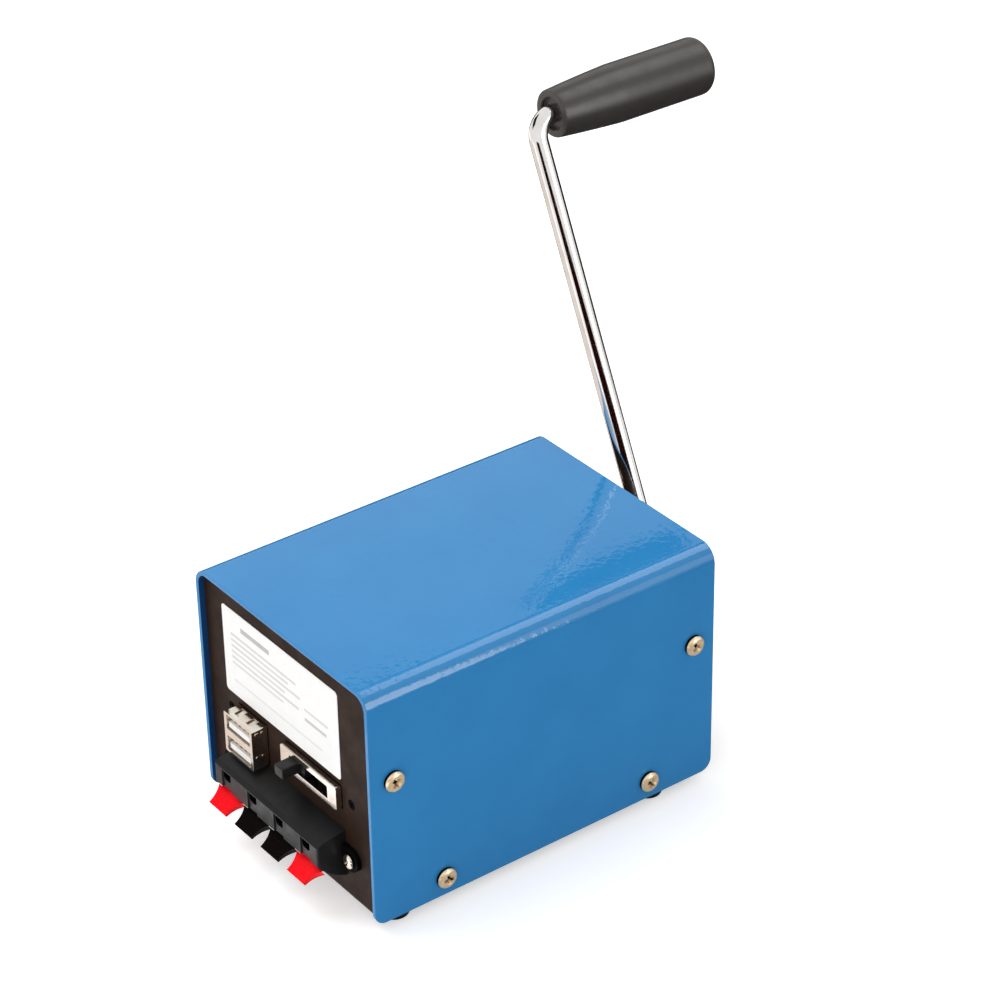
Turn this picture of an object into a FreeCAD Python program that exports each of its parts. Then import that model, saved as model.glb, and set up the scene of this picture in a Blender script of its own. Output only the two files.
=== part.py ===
import FreeCAD, Part
import math
import os

# Hand crank generator, in millimetres.
# +Z up, the terminal panel faces -Y, origin on the table at the centre of the case.

vec = FreeCAD.Vector
along_x, along_y, along_z = vec(1, 0, 0), vec(0, 1, 0), vec(0, 0, 1)

# case
case_width, case_depth, case_height = 88.0, 126.0, 80.0
foot_height, foot_radius = 3.5, 5.0
cover_sheet, chassis_sheet = 1.5, 1.2
cover_fold, flap_corner = 5.7, 4.0
panel_recess = 2.0
seat_gap = 0.3            # small gap where one piece lies beside another
thread_gap = 0.05         # radial room round a screw or a seated pin
running_gap = 0.05        # radial room of a shaft in its bearing

half_width, half_depth = case_width / 2, case_depth / 2
case_bottom = foot_height
case_top = case_bottom + case_height
wall_inside = half_width - cover_sheet
front_face = -half_depth + panel_recess
front_back = front_face + chassis_sheet
rear_face = half_depth - panel_recess
rear_inside = rear_face - chassis_sheet
floor_top = case_bottom + chassis_sheet
panel_top = case_top - cover_sheet - seat_gap
flange_inside = wall_inside - chassis_sheet

# screws that hold the cover: distance from an end of the case and height over its lower edge
end_screw_inset, end_screw_rise = 8.0, 49.0
low_screw_inset, low_screw_rise = 25.0, 6.5
cover_screw_places = ((-half_depth + end_screw_inset, case_bottom + end_screw_rise),
                      (-half_depth + low_screw_inset, case_bottom + low_screw_rise),
                      (half_depth - low_screw_inset, case_bottom + low_screw_rise),
                      (half_depth - end_screw_inset, case_bottom + end_screw_rise))
case_screw, small_screw = 1.5, 1.25       # shank radii
foot_x, foot_front_y, foot_back_y = half_width - 6.6, -half_depth + 11.0, half_depth - 20.0

# front panel fittings
label_x, label_z, label_width, label_height, label_thick = -3.2, 60.2, 59.6, 30.4, 0.25
usb_inset, switch_inset = 24.55, 31.9    # from a side of the case to the middle of each
usb_x, switch_x = -half_width + usb_inset, half_width - switch_inset
usb_z, usb_width, usb_height, usb_wall = 35.4, 14.9, 14.2, 0.4
port_width, port_height, port_gap, port_rim, port_depth = 12.5, 5.12, 2.4, 0.9, 9.0
tongue_width, tongue_thick, tongue_rise = 11.2, 1.9, 0.75
usb_front = -half_depth - 3.7
switch_z, switch_width, switch_height = 39.0, 28.6, 7.8
switch_front, switch_wall = front_face - 2.1, 0.5
slot_length, slot_height, knob_width, knob_height = 19.6, 4.3, 4.5, 3.9
knob_proud, base_front = 5.5, switch_front + 5.4
switch_travel = slot_length - knob_width - 2 * seat_gap
board_half, board_low, board_high = half_width - 9.0, 26.5, 54.0
board_x, board_hole_z = board_half - 3.8, 39.1
board_front, board_thick = front_back + 9.3, 1.6
board_back = board_front + board_thick

# parts on the board
rectifier_inset, regulator_inset, capacitor_inset = 9.5, 14.0, 4.5    # from an end of the board
rectifier_x, regulator_x = -board_half + rectifier_inset, board_half - regulator_inset
rectifier_z, rectifier_width, rectifier_height, rectifier_thick = 47.25, 8.0, 6.5, 3.2
regulator_z, regulator_width, regulator_height, regulator_thick = 46.2, 10.0, 8.4, 4.4
capacitor_places = (-12.0, board_half - capacitor_inset)
capacitor_z, capacitor_radius, capacitor_length = 47.0, 4.0, 11.0
coil_x, coil_z, coil_outer, coil_inner, coil_height = 4.0, 46.8, 6.0, 2.6, 5.0
wire_pad_x, wire_pad_z, wire_pad_pitch = 6.0, 35.0, 6.0

# spring terminals
lever_pitch, lever_count = 13.9, 4
strip_front, strip_low, strip_high = front_face - 10.0, 18.7, 26.2
block_half, block_low, block_high = 27.2, 11.5, 28.0
block_top_round, block_end_round = 4.5, 2.3
spigot_half, spigot_low, spigot_high, spigot_depth = 24.0, 15.0, 26.0, 4.5
ear_x, ear_z, ear_radius, ear_thick = block_half + 4.0, 19.8, 3.8, 1.5
ear_head_radius, ear_head_height, ear_screw_length = 2.4, 1.5, 8.0
hinge_y, hinge_z, hinge_radius = front_face - 5.2, 18.0, 1.7
lever_slope, lever_reach, lever_root, lever_thick = 32.6, 9.8, 3.7, 2.0
barrel_half, root_half, waist_half, tip_half, tip_thick = 4.7, 6.4, 5.1, 4.35, 1.0
pocket_half = barrel_half + seat_gap
pocket_front, pocket_back = hinge_y - hinge_radius - seat_gap, hinge_y + hinge_radius + seat_gap
pocket_top = hinge_z + hinge_radius + seat_gap
hinge_pin_radius = 0.8
entry_width, entry_height, entry_z = 3.6, 2.6, 23.0
recess_width, recess_depth = 5.4, 0.6
contact_width, contact_thick, contact_inset = 3.0, 0.5, 4.1

# crank
crank_z = 45.8
rod_radius, rod_bend = 3.0, 7.0
arm_length, arm_lean, arm_y = 147.2, 24.5, half_depth + 14.0
grip_length, grip_small, grip_large, grip_taper = 58.7, 7.6, 9.35, 24.0
grip_swell, grip_swell_at = 8.52, 11.5    # radius where the taper is half way, and its place
grip_mouth, grip_end_round = 1.4, 2.6
grip_start = arm_y + rod_bend
grip_pocket, grip_pocket_depth, washer_thick = 5.2, 9.0, 1.0

# gear train: the crank drives the double gear, which drives the generator
pressure_angle = math.radians(20)
first_module, second_module = 0.8, 0.7
crank_teeth, slow_pinion_teeth = 60, 15
double_teeth, fast_pinion_teeth = 45, 12
backlash = 0.10
first_distance = first_module * (crank_teeth + slow_pinion_teeth) / 2
second_distance = second_module * (double_teeth + fast_pinion_teeth) / 2
double_direction, motor_direction = 131.0, 262.0     # degrees from +Z towards +X
plate_thick, gearbox_depth = 2.5, 19.0
rear_plate_y = rear_inside - plate_thick
front_plate_y = rear_plate_y - gearbox_depth
plate_left, plate_right, plate_low, plate_high, plate_corner = -30.0, 33.0, 9.0, 74.0, 6.0
wide_gear_y, wide_gear_face = rear_inside - 10.0, 6.0
narrow_gear_y, narrow_gear_face = front_plate_y + 4.9, 5.0
hub_radius, hub_length, web_outer, web_inner, web_depth = 6.0, 13.0, 20.0, 8.5, 1.8
grub_radius, grub_length, hub_screw_y = 1.25, 2.8, narrow_gear_y + 3.6
bearing_flange, bearing_thick, bearing_length, bearing_screw_circle = 13.0, 2.6, 4.4, 9.6
bearing_spigot, bush_spigot, boss_radius, pin_radius, shaft_radius = 5.0, 4.5, 5.0, 2.0, 1.5
collar_y, collar_length, collar_radius = rear_face + bearing_length + seat_gap, 3.9, 6.3
collar_screw_y = collar_y + collar_length / 2
pillar_radius = 3.0
press_gap = 0.02          # radial room of a piece that is fixed on its shaft


def polar(x, z, radius, degrees):
    angle = math.radians(degrees)
    return x + radius * math.sin(angle), z + radius * math.cos(angle)


double_x, double_z = polar(0, crank_z, first_distance, double_direction)
motor_x, motor_z = polar(double_x, double_z, second_distance, motor_direction)
can_radius, can_length, can_wall, can_screw_circle = 16.0, 48.0, 1.2, 10.5
can_back = front_plate_y
can_front = can_back - can_length
armature_y, armature_length, poles = can_front + 12.0, 24.0, 5
slot_centre, slot_radius = 7.4, 2.7
magnet_y, magnet_length, magnet_inner, magnet_angle = can_front + 9.0, 30.0, 12.3, 124.0
core_radius, commutator_radius, commutator_length = 11.6, 3.6, 7.3
tab_offset, tab_half, tab_length = 9.0, 1.4, 7.5
wire_radius = 0.8


def box(x0, x1, y0, y1, z0, z1):
    return Part.makeBox(x1 - x0, y1 - y0, z1 - z0, vec(x0, y0, z0))


def rod(start, direction, radius, length):
    return Part.makeCylinder(radius, length, vec(*start), direction)


def bore(x, z, radius):
    """Long cutting cylinder along Y."""
    return rod((x, -case_depth, z), along_y, radius, 2 * case_depth)


def ring(start, direction, outer, inner, length):
    return rod(start, direction, outer, length).cut(rod(start, direction, inner, length))


def rounded_plate(x0, x1, z0, z1, y0, y1, corner):
    plate = box(x0, x1, y0, y1, z0, z1)
    upright = [e for e in plate.Edges if abs(e.tangentAt(e.FirstParameter).y) > 0.9]
    return plate.makeFillet(corner, upright)


def fuse(shapes):
    return shapes[0].multiFuse(shapes[1:]).removeSplitter()


def group(shapes):
    return Part.makeCompound(shapes)


def turned(points, origin, direction):
    """Solid of revolution from (distance along, radius) points, put along a direction."""
    outline = [vec(r, 0, d) for d, r in points]
    face = Part.Face(Part.makePolygon(outline + [outline[0]]))
    solid = face.revolve(vec(0, 0, 0), along_z, 360)
    solid.Placement = FreeCAD.Placement(vec(*origin), FreeCAD.Rotation(along_z, direction))
    return solid


def pan_screw(seat, outward, head, height, shank, length):
    """Screw whose head sits on the point seat and whose shank runs the other way."""
    crown = 0.62 * head
    points = [(-length, 0), (-length, shank), (0, shank), (0, head), (0.55 * height, head),
              (height, crown), (height, 0)]
    return turned(points, seat, outward)


def save(name, shape):
    shape.exportStep("parts/" + name + ".step")


# ---------------------------------------------------------------- case

def cover():
    outer = box(-half_width, half_width, -half_depth, half_depth, case_bottom, case_top)
    top_edges = [e for e in outer.Edges if abs(e.tangentAt(e.FirstParameter).y) > 0.9
                 and e.CenterOfMass.z > case_top - 1]
    outer = outer.makeFillet(cover_fold, top_edges)
    inner = box(-wall_inside, wall_inside, -half_depth, half_depth, case_bottom, case_top - cover_sheet)
    top_edges = [e for e in inner.Edges if abs(e.tangentAt(e.FirstParameter).y) > 0.9
                 and e.CenterOfMass.z > case_top - cover_sheet - 1]
    inner = inner.makeFillet(cover_fold - cover_sheet, top_edges)
    shell = outer.cut(inner)
    corners = [e for e in shell.Edges if abs(e.tangentAt(e.FirstParameter).x) > 0.9
               and e.CenterOfMass.z < case_bottom + 0.1]
    shell = shell.makeFillet(flap_corner, corners)
    holes = []
    for y, z in cover_screw_places:
        holes.append(rod((-half_width - 1, y, z), along_x, case_screw + 0.2, case_width + 2))
    return shell.cut(group(holes))


def cover_screws():
    screws = []
    for y, z in cover_screw_places:
        for side in (-1, 1):
            screws.append(pan_screw((side * half_width, y, z), along_x * side, 3.3, 2.1, case_screw, 7.0))
    return group(screws)


def chassis():
    low, turn = case_bottom, 2.2
    flange_low, flange_high, flange_depth, lip_half = low + 12.5, panel_top - 9.7, 12.0, wall_inside - 8.5
    profile = [vec(0, front_face, panel_top), vec(0, front_face, low), vec(0, rear_face, low),
               vec(0, rear_face, panel_top), vec(0, rear_inside, panel_top),
               vec(0, rear_inside, floor_top), vec(0, front_back, floor_top),
               vec(0, front_back, panel_top)]
    sheet = Part.Face(Part.makePolygon(profile + [profile[0]])).extrude(vec(2 * wall_inside, 0, 0))
    sheet.translate(vec(-wall_inside, 0, 0))
    folds = [e for e in sheet.Edges if abs(e.tangentAt(e.FirstParameter).x) > 0.9
             and e.CenterOfMass.z < low + 0.1]
    sheet = sheet.makeFillet(turn, folds)
    tops = [e for e in sheet.Edges if abs(e.tangentAt(e.FirstParameter).y) > 0.9
            and e.CenterOfMass.z > panel_top - 0.1]
    sheet = sheet.makeFillet(cover_fold - 1.0, tops)
    flanges = [sheet]
    for side in (-1, 1):
        x0, x1 = sorted((side * flange_inside, side * wall_inside))
        flanges.append(box(x0, x1, front_back, front_back + flange_depth, flange_low, flange_high))
        flanges.append(box(x0, x1, rear_inside - flange_depth, rear_inside, flange_low, flange_high))
        flanges.append(box(x0, x1, front_back + flange_depth + 2, rear_inside - flange_depth - 2, low,
                           flange_low + 1))
    for y in (front_back, rear_inside - 8):
        flanges.append(box(-lip_half, lip_half, y, y + 8, panel_top - chassis_sheet, panel_top))
    sheet = fuse(flanges)
    cuts = []
    for y, z in cover_screw_places:
        cuts.append(rod((-half_width, y, z), along_x, case_screw + thread_gap, case_width))
    cuts += front_cutouts() + rear_cutouts()
    return sheet.cut(group(cuts))


def front_cutouts():
    y0, y1 = front_face - 1, front_back + 0.5
    clear = seat_gap
    usb = box(usb_x - usb_width / 2 - clear, usb_x + usb_width / 2 + clear, y0, y1,
              usb_z - usb_height / 2 - clear, usb_z + usb_height / 2 + clear)
    switch = box(switch_x - switch_width / 2 - clear, switch_x + switch_width / 2 + clear, y0, y1,
                 switch_z - switch_height / 2 - clear, switch_z + switch_height / 2 + clear)
    block = box(-spigot_half - clear, spigot_half + clear, y0, y1, spigot_low - clear, spigot_high + clear)
    holes = [usb, switch, block]
    for side in (-1, 1):
        holes.append(rod((side * ear_x, y0, ear_z), along_y, case_screw + thread_gap, 4))
        holes.append(rod((side * board_x, y0, board_hole_z), along_y, 1.7, 4))
    return holes


def rear_cutouts():
    y0 = rear_inside - 0.5
    holes = [rod((0, y0, crank_z), along_y, bearing_spigot + thread_gap, 4)]
    for x, z in bearing_screw_places() + pillar_places():
        holes.append(rod((x, y0, z), along_y, small_screw + thread_gap, 4))
    return holes


def foot(x, y):
    points = [(0, 0), (0, foot_radius - 1.1), (0.5, foot_radius - 0.4), (foot_height, foot_radius),
              (foot_height, 0)]
    return turned(points, (x, y, 0), along_z)


def front_label():
    return rounded_plate(label_x - label_width / 2, label_x + label_width / 2,
                         label_z - label_height / 2, label_z + label_height / 2,
                         front_face - label_thick, front_face, 1.2)


# ---------------------------------------------------------------- control board, sockets and switch

def control_board():
    board = rounded_plate(-board_half, board_half, board_low, board_high, board_front, board_back, 1.5)
    holes = [bore(side * board_x, board_hole_z, small_screw + thread_gap) for side in (-1, 1)]
    return board.cut(group(holes))


def board_posts():
    posts = []
    for side in (-1, 1):
        post = hexagon(side * board_x, board_hole_z, 2.7, front_back, board_front)
        posts.append(post.cut(bore(side * board_x, board_hole_z, small_screw + thread_gap)))
    return group(posts)


def hexagon(x, z, radius, y0, y1):
    corners = [polar(x, z, radius, 60 * i) for i in range(7)]
    outline = Part.makePolygon([vec(cx, y0, cz) for cx, cz in corners])
    return Part.Face(outline).extrude(vec(0, y1 - y0, 0))


def panel_screws():
    """Countersunk screws through the panel into the posts."""
    screws = []
    for side in (-1, 1):
        points = [(0, 0), (0, 1.62), (0.5, small_screw), (5.0, small_screw), (5.0, 0)]
        screws.append(turned(points, (side * board_x, front_face + 0.15, board_hole_z), along_y))
    return group(screws)


def board_screws():
    return group([pan_screw((side * board_x, board_back, board_hole_z), along_y, 2.3, 1.5, small_screw, 5.0)
                  for side in (-1, 1)])


def usb_shell():
    """Folded shell whose front rim leaves two openings."""
    x0, x1 = usb_x - usb_width / 2, usb_x + usb_width / 2
    z0, z1 = usb_z - usb_height / 2, usb_z + usb_height / 2
    shell = rounded_plate(x0, x1, z0, z1, usb_front, board_front, 0.5)
    cuts = []
    for centre in usb_port_centres():
        cuts.append(box(usb_x - port_width / 2, usb_x + port_width / 2, usb_front - 1, usb_front + port_depth,
                        centre - port_height / 2, centre + port_height / 2))
    for low, high in ((z0 + usb_wall, usb_z - port_gap / 2), (usb_z + port_gap / 2, z1 - usb_wall)):
        cuts.append(box(x0 + usb_wall, x1 - usb_wall, usb_front + port_rim, usb_front + port_depth,
                        low, high))
    cuts.append(box(x0 + usb_wall, x1 - usb_wall, usb_front + port_depth - 1, board_front + 1, z0 + usb_wall,
                    z1 - usb_wall))
    for x in (usb_x - 3.1, usb_x + 3.1):
        cuts.append(box(x - 1.3, x + 1.3, usb_front + 1.6, usb_front + 4.8, z1 - 1, z1 + 1))
    return shell.cut(group(cuts))


def usb_port_centres():
    offset = (port_gap + port_height) / 2
    return (usb_z - offset, usb_z + offset)


def usb_insulator():
    """Moulded body behind the openings, with a tongue low in each of them."""
    room = usb_wall + thread_gap
    x0, x1 = usb_x - usb_width / 2 + room, usb_x + usb_width / 2 - room
    z0, z1 = usb_z - usb_height / 2 + room, usb_z + usb_height / 2 - room
    back = usb_front + port_depth + thread_gap
    pieces = [box(x0, x1, back, board_front, z0, z1)]
    for centre in usb_port_centres():
        low = centre - port_height / 2 + tongue_rise
        pieces.append(box(usb_x - tongue_width / 2, usb_x + tongue_width / 2, usb_front + 0.5, back,
                          low, low + tongue_thick))
    return fuse(pieces)


def usb_contacts():
    """Four strips on each tongue."""
    strips = []
    for centre in usb_port_centres():
        low = centre - port_height / 2 + tongue_rise + tongue_thick
        for i in range(4):
            x = usb_x - 3.75 + 2.5 * i
            strips.append(box(x - 0.5, x + 0.5, usb_front + 1.4, usb_front + port_depth, low, low + 0.2))
    return group(strips)


def switch_frame():
    x0, x1 = switch_x - switch_width / 2, switch_x + switch_width / 2
    z0, z1 = switch_z - switch_height / 2, switch_z + switch_height / 2
    shell = rounded_plate(x0, x1, z0, z1, switch_front, board_front, 0.6)
    inside = box(x0 + switch_wall, x1 - switch_wall, switch_front + switch_wall, board_front + 1,
                 z0 + switch_wall, z1 - switch_wall)
    slot = box(switch_x - slot_length / 2, switch_x + slot_length / 2, switch_front - 1,
               switch_front + 1, switch_z - slot_height / 2, switch_z + slot_height / 2)
    return shell.cut(inside).cut(slot)


def switch_base():
    room = switch_wall + thread_gap
    x0, x1 = switch_x - switch_width / 2 + room, switch_x + switch_width / 2 - room
    z0, z1 = switch_z - switch_height / 2 + room, switch_z + switch_height / 2 - room
    return box(x0, x1, base_front, board_front, z0, z1)


def switch_contacts():
    """Three fixed strips across the base, under the sliding carriage."""
    return group([box(switch_x + dx - 1.4, switch_x + dx + 1.4, base_front - 0.4, base_front,
                      switch_z - 2.4, switch_z + 2.4) for dx in (-8, 0, 8)])


def switch_knob():
    x = switch_x - switch_travel / 2
    half = switch_height / 2 - switch_wall - seat_gap
    carriage = box(x - 4.2, x + 4.2, switch_front + switch_wall + seat_gap, base_front - 1.0,
                   switch_z - half, switch_z + half)
    stem = rounded_plate(x - knob_width / 2, x + knob_width / 2, switch_z - knob_height / 2,
                         switch_z + knob_height / 2, switch_front - knob_proud, switch_front + 1.2, 0.4)
    return carriage.fuse(stem).removeSplitter()


def on_board(x, z, width, height, thick):
    """Flat block on the board's back, centred at x and z."""
    return box(x - width / 2, x + width / 2, board_back, board_back + thick, z - height / 2, z + height / 2)


def rectifier():
    body = on_board(rectifier_x, rectifier_z, rectifier_width, rectifier_height, rectifier_thick)
    low = rectifier_z - rectifier_height / 2
    leads = [on_board(rectifier_x + dx, low - 0.6, 0.5, 1.6, 0.8) for dx in (-3.5, -1.1, 1.3, 3.5)]
    return fuse([body] + leads)


def regulator():
    body = on_board(regulator_x, regulator_z, regulator_width, regulator_height, regulator_thick)
    high = regulator_z + regulator_height / 2
    return fuse([body, on_board(regulator_x, high + 1.2, regulator_width - 0.8, 2.8, 1.2)])


def capacitors():
    radius, length, crimp = capacitor_radius, capacitor_length, 0.7
    points = [(0, 0), (0, radius), (length - crimp, radius), (length, radius - crimp), (length, 0)]
    return group([turned(points, (x, board_back, capacitor_z), along_y) for x in capacitor_places])


def inductor():
    """Toroid with its wire drawn as thick turns round the core."""
    pieces = [ring((coil_x, board_back, coil_z), along_y, coil_outer, coil_inner, coil_height)]
    for i in range(9):
        turn = box(-0.55, 0.55, 0, coil_height + 0.8, coil_inner - 0.6, coil_outer + 0.6)
        turn.rotate(vec(0, 0, 0), along_y, 40 * i)
        turn.translate(vec(coil_x, board_back, coil_z))
        pieces.append(turn)
    return fuse(pieces)


# ---------------------------------------------------------------- spring terminals

def lever_x(index):
    return (index - (lever_count - 1) / 2) * lever_pitch


def extruded(outline, direction):
    """Solid from a closed outline of points or edges, pushed along a direction."""
    if isinstance(outline[0], FreeCAD.Vector):
        wire = Part.makePolygon(outline + [outline[0]])
    else:
        wire = Part.Wire(outline)
    return Part.Face(wire).extrude(direction)


def terminal_block():
    """Outer form: the side view, the plan and the front view pushed through each other."""
    base, half = front_face, block_half
    low_front, low_back = vec(-half, strip_front, strip_low), vec(-half, base, block_low)
    belly = vec(-half, hinge_y - 0.5, hinge_z - 3.5)
    bevel = vec(-half, strip_front + 1.5, strip_high)
    edge = vec(-half, strip_front, strip_high - 0.9)
    high_back = vec(-half, base, block_high)
    side = extruded([Part.Arc(low_back, belly, low_front).toShape(), Part.makeLine(low_front, edge),
                     Part.makeLine(edge, bevel), Part.makeLine(bevel, high_back),
                     Part.makeLine(high_back, low_back)], vec(2 * half, 0, 0))
    plan = box(-half, half, strip_front, base, block_low, block_high)
    upright = [e for e in plan.Edges if abs(e.tangentAt(e.FirstParameter).z) > 0.9
               and e.CenterOfMass.y < base - 1]
    plan = plan.makeFillet(block_end_round, upright)
    front = box(-half, half, strip_front, base, block_low, block_high)
    shoulders = [e for e in front.Edges if abs(e.tangentAt(e.FirstParameter).y) > 0.9
                 and e.CenterOfMass.z > strip_high]
    front = front.makeFillet(block_top_round, shoulders)
    return side.common(plan).common(front)


def terminal_body():
    base = front_face
    spigot = box(-spigot_half, spigot_half, base, base + spigot_depth, spigot_low, spigot_high)
    pieces = [terminal_block(), spigot]
    for sign in (-1, 1):
        x0, x1 = sorted((sign * ear_x, sign * (block_half - 1)))
        pieces.append(rod((sign * ear_x, base - ear_thick, ear_z), along_y, ear_radius, ear_thick))
        pieces.append(box(x0, x1, base - ear_thick, base, ear_z - ear_radius, ear_z + ear_radius))
    cuts = []
    entry_low = entry_z - entry_height / 2
    for i in range(lever_count):
        x, slit = lever_x(i), contact_width / 2 + thread_gap
        x0, x1 = x - pocket_half, x + pocket_half
        cuts.append(box(x0, x1, strip_front - 1, pocket_back, block_low - 1, strip_low))
        cuts.append(box(x0, x1, pocket_front, pocket_back, strip_low - 1, pocket_top))
        cuts.append(box(x - recess_width / 2, x + recess_width / 2, strip_front - 1,
                        strip_front + recess_depth, strip_low - 1, entry_low + entry_height))
        cuts.append(box(x - entry_width / 2, x + entry_width / 2, strip_front - 1, base + 2.5,
                        entry_low, entry_low + entry_height))
        cuts.append(box(x - slit, x + slit, strip_front + 4, base + spigot_depth + 1,
                        entry_low, entry_low + contact_thick + 2 * thread_gap))
    for sign in (-1, 1):
        cuts.append(bore(sign * ear_x, ear_z, case_screw + thread_gap))
    pin_room = hinge_pin_radius + 0.03
    cuts.append(rod((-block_half + 1, hinge_y, hinge_z), along_x, pin_room, 2 * block_half - 2))
    return fuse(pieces).cut(group(cuts))


def hinge_pin():
    return rod((-block_half + 1.1, hinge_y, hinge_z), along_x, hinge_pin_radius, 2 * block_half - 2.2)


def lever(index):
    """Waisted lever, thinner to its tip, made flat and then tilted down about its hinge."""
    waist = lever_root + 2.0
    corners = [vec(-barrel_half, 0, 0), vec(-barrel_half, -lever_root, 0),
               vec(-root_half, -lever_root, 0), vec(-tip_half, -lever_reach, 0),
               vec(tip_half, -lever_reach, 0), vec(root_half, -lever_root, 0),
               vec(barrel_half, -lever_root, 0), vec(barrel_half, 0, 0)]
    outline = [Part.makeLine(corners[i], corners[(i + 1) % 8]) for i in range(8)]
    outline[2] = Part.Arc(corners[2], vec(-waist_half, -waist, 0), corners[3]).toShape()
    outline[4] = Part.Arc(corners[4], vec(waist_half, -waist, 0), corners[5]).toShape()
    flat = extruded(outline, vec(0, 0, 2 * lever_thick))
    flat.translate(vec(0, 0, -lever_thick))
    top = lever_thick / 2
    side = [vec(-root_half, 0, top), vec(-root_half, -lever_reach, top),
            vec(-root_half, -lever_reach, top - tip_thick), vec(-root_half, -lever_root, -top),
            vec(-root_half, 0, -top)]
    section = extruded(side, vec(2 * root_half, 0, 0))
    barrel = rod((-barrel_half, 0, 0), along_x, hinge_radius, 2 * barrel_half)
    piece = flat.common(section).fuse(barrel)
    piece = piece.cut(rod((-root_half, 0, 0), along_x, hinge_pin_radius + running_gap, 2 * root_half))
    piece.rotate(vec(0, 0, 0), along_x, lever_slope)
    piece.translate(vec(lever_x(index), hinge_y, hinge_z))
    return piece


def terminal_contacts():
    low = entry_z - entry_height / 2 + thread_gap
    return group([box(lever_x(i) - contact_width / 2, lever_x(i) + contact_width / 2,
                      strip_front + contact_inset, board_front, low, low + contact_thick)
                  for i in range(lever_count)])


def terminal_screws():
    return group([pan_screw((side * ear_x, front_face - ear_thick, ear_z), along_y * -1, ear_head_radius,
                            ear_head_height, case_screw, ear_screw_length) for side in (-1, 1)])


# ---------------------------------------------------------------- gears

def involute(angle):
    return math.tan(angle) - angle


def gear(teeth, module, x, z, y, face_width, tooth_at):
    """Spur gear about +Y with one tooth centred on the direction tooth_at, degrees from +Z to +X."""
    pitch = teeth * module / 2
    base = pitch * math.cos(pressure_angle)
    tip, root = pitch + 0.92 * module, pitch - 1.25 * module
    start = max(base, root)
    half_tooth = math.pi / (2 * teeth) - backlash / (2 * pitch)

    def half_angle(radius):
        roll = math.acos(min(1.0, base / radius))
        return half_tooth + involute(pressure_angle) - involute(roll)

    def at(radius, angle):
        return vec(x + radius * math.sin(angle), y, z + radius * math.cos(angle))

    middle, step = (start + tip) / 2, 2 * math.pi / teeth
    centre = math.radians(tooth_at) - step
    gap_end = at(root, centre + half_angle(start))
    edges = []
    for _ in range(teeth):
        centre += step
        left_foot, right_foot = at(root, centre - half_angle(start)), at(root, centre + half_angle(start))
        left = [at(r, centre - half_angle(r)) for r in (start, middle, tip)]
        right = [at(r, centre + half_angle(r)) for r in (tip, middle, start)]
        edges.append(Part.makeLine(gap_end, left_foot))
        if start > root:
            edges.append(Part.makeLine(left_foot, left[0]))
        edges.append(Part.Arc(*left).toShape())
        edges.append(Part.makeLine(left[2], right[0]))
        edges.append(Part.Arc(*right).toShape())
        if start > root:
            edges.append(Part.makeLine(right[2], right_foot))
        gap_end = right_foot
    return Part.Face(Part.Wire(edges)).extrude(vec(0, face_width, 0))


def crank_gear():
    blank = gear(crank_teeth, first_module, 0, crank_z, wide_gear_y, wide_gear_face, double_direction)
    hub = rod((0, narrow_gear_y + 0.7, crank_z), along_y, hub_radius, hub_length)
    blank = blank.fuse(hub)
    for side in (0, wide_gear_face - web_depth):
        blank = blank.cut(ring((0, wide_gear_y + side, crank_z), along_y, web_outer, web_inner, web_depth))
    blank = blank.cut(bore(0, crank_z, rod_radius + press_gap))
    grub = rod((0, hub_screw_y, crank_z), along_z, grub_radius + thread_gap, 8)
    return blank.cut(grub).removeSplitter()


def double_gear():
    slow_tooth = double_direction + 180 + 180 / slow_pinion_teeth
    pinion = gear(slow_pinion_teeth, first_module, double_x, double_z, narrow_gear_y + narrow_gear_face,
                  wide_gear_y + wide_gear_face + 0.8 - narrow_gear_y - narrow_gear_face, slow_tooth)
    wheel = gear(double_teeth, second_module, double_x, double_z, narrow_gear_y, narrow_gear_face,
                 motor_direction)
    hub_y = front_plate_y + plate_thick + seat_gap
    hub = rod((double_x, hub_y, double_z), along_y, 4.5, narrow_gear_y + 1 - hub_y)
    solid = pinion.fuse(wheel).fuse(hub)
    return solid.cut(bore(double_x, double_z, pin_radius + running_gap)).removeSplitter()


def double_gear_pin():
    return rod((double_x, front_plate_y, double_z), along_y, pin_radius, rear_inside - front_plate_y)


def motor_pinion():
    tooth = motor_direction + 180 + 180 / fast_pinion_teeth
    pinion = gear(fast_pinion_teeth, second_module, motor_x, motor_z, narrow_gear_y - 0.6,
                  narrow_gear_face + 1.2, tooth)
    return pinion.cut(bore(motor_x, motor_z, shaft_radius + press_gap))


# ---------------------------------------------------------------- gearbox and crank

def plate_outline(y):
    return rounded_plate(plate_left, plate_right, plate_low, plate_high, y, y + plate_thick, plate_corner)


def pillar_places():
    left, high = plate_left + 5.5, plate_high - 6.0
    return [(left, plate_low + 6.5), (left, high), (plate_right - 5.5, high),
            (plate_right - 3.7, crank_z + 1.0)]


def bearing_screw_places():
    return [polar(0, crank_z, bearing_screw_circle, 120 * i) for i in range(3)]


def gearbox_rear_plate():
    cuts = [bore(0, crank_z, bearing_spigot + thread_gap), bore(double_x, double_z, pin_radius + thread_gap)]
    for x, z in bearing_screw_places() + pillar_places():
        cuts.append(bore(x, z, small_screw + thread_gap))
    return plate_outline(rear_plate_y).cut(group(cuts))


def gearbox_front_plate():
    cuts = [bore(0, crank_z, bush_spigot + thread_gap), bore(double_x, double_z, pin_radius + thread_gap),
            bore(motor_x, motor_z, boss_radius + thread_gap)]
    for x, z in pillar_places() + can_screw_places():
        cuts.append(bore(x, z, small_screw + thread_gap))
    return plate_outline(front_plate_y).cut(group(cuts))


def gearbox_pillars():
    low = front_plate_y + plate_thick
    return group([ring((x, low, z), along_y, pillar_radius, small_screw + thread_gap, rear_plate_y - low)
                  for x, z in pillar_places()])


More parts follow.
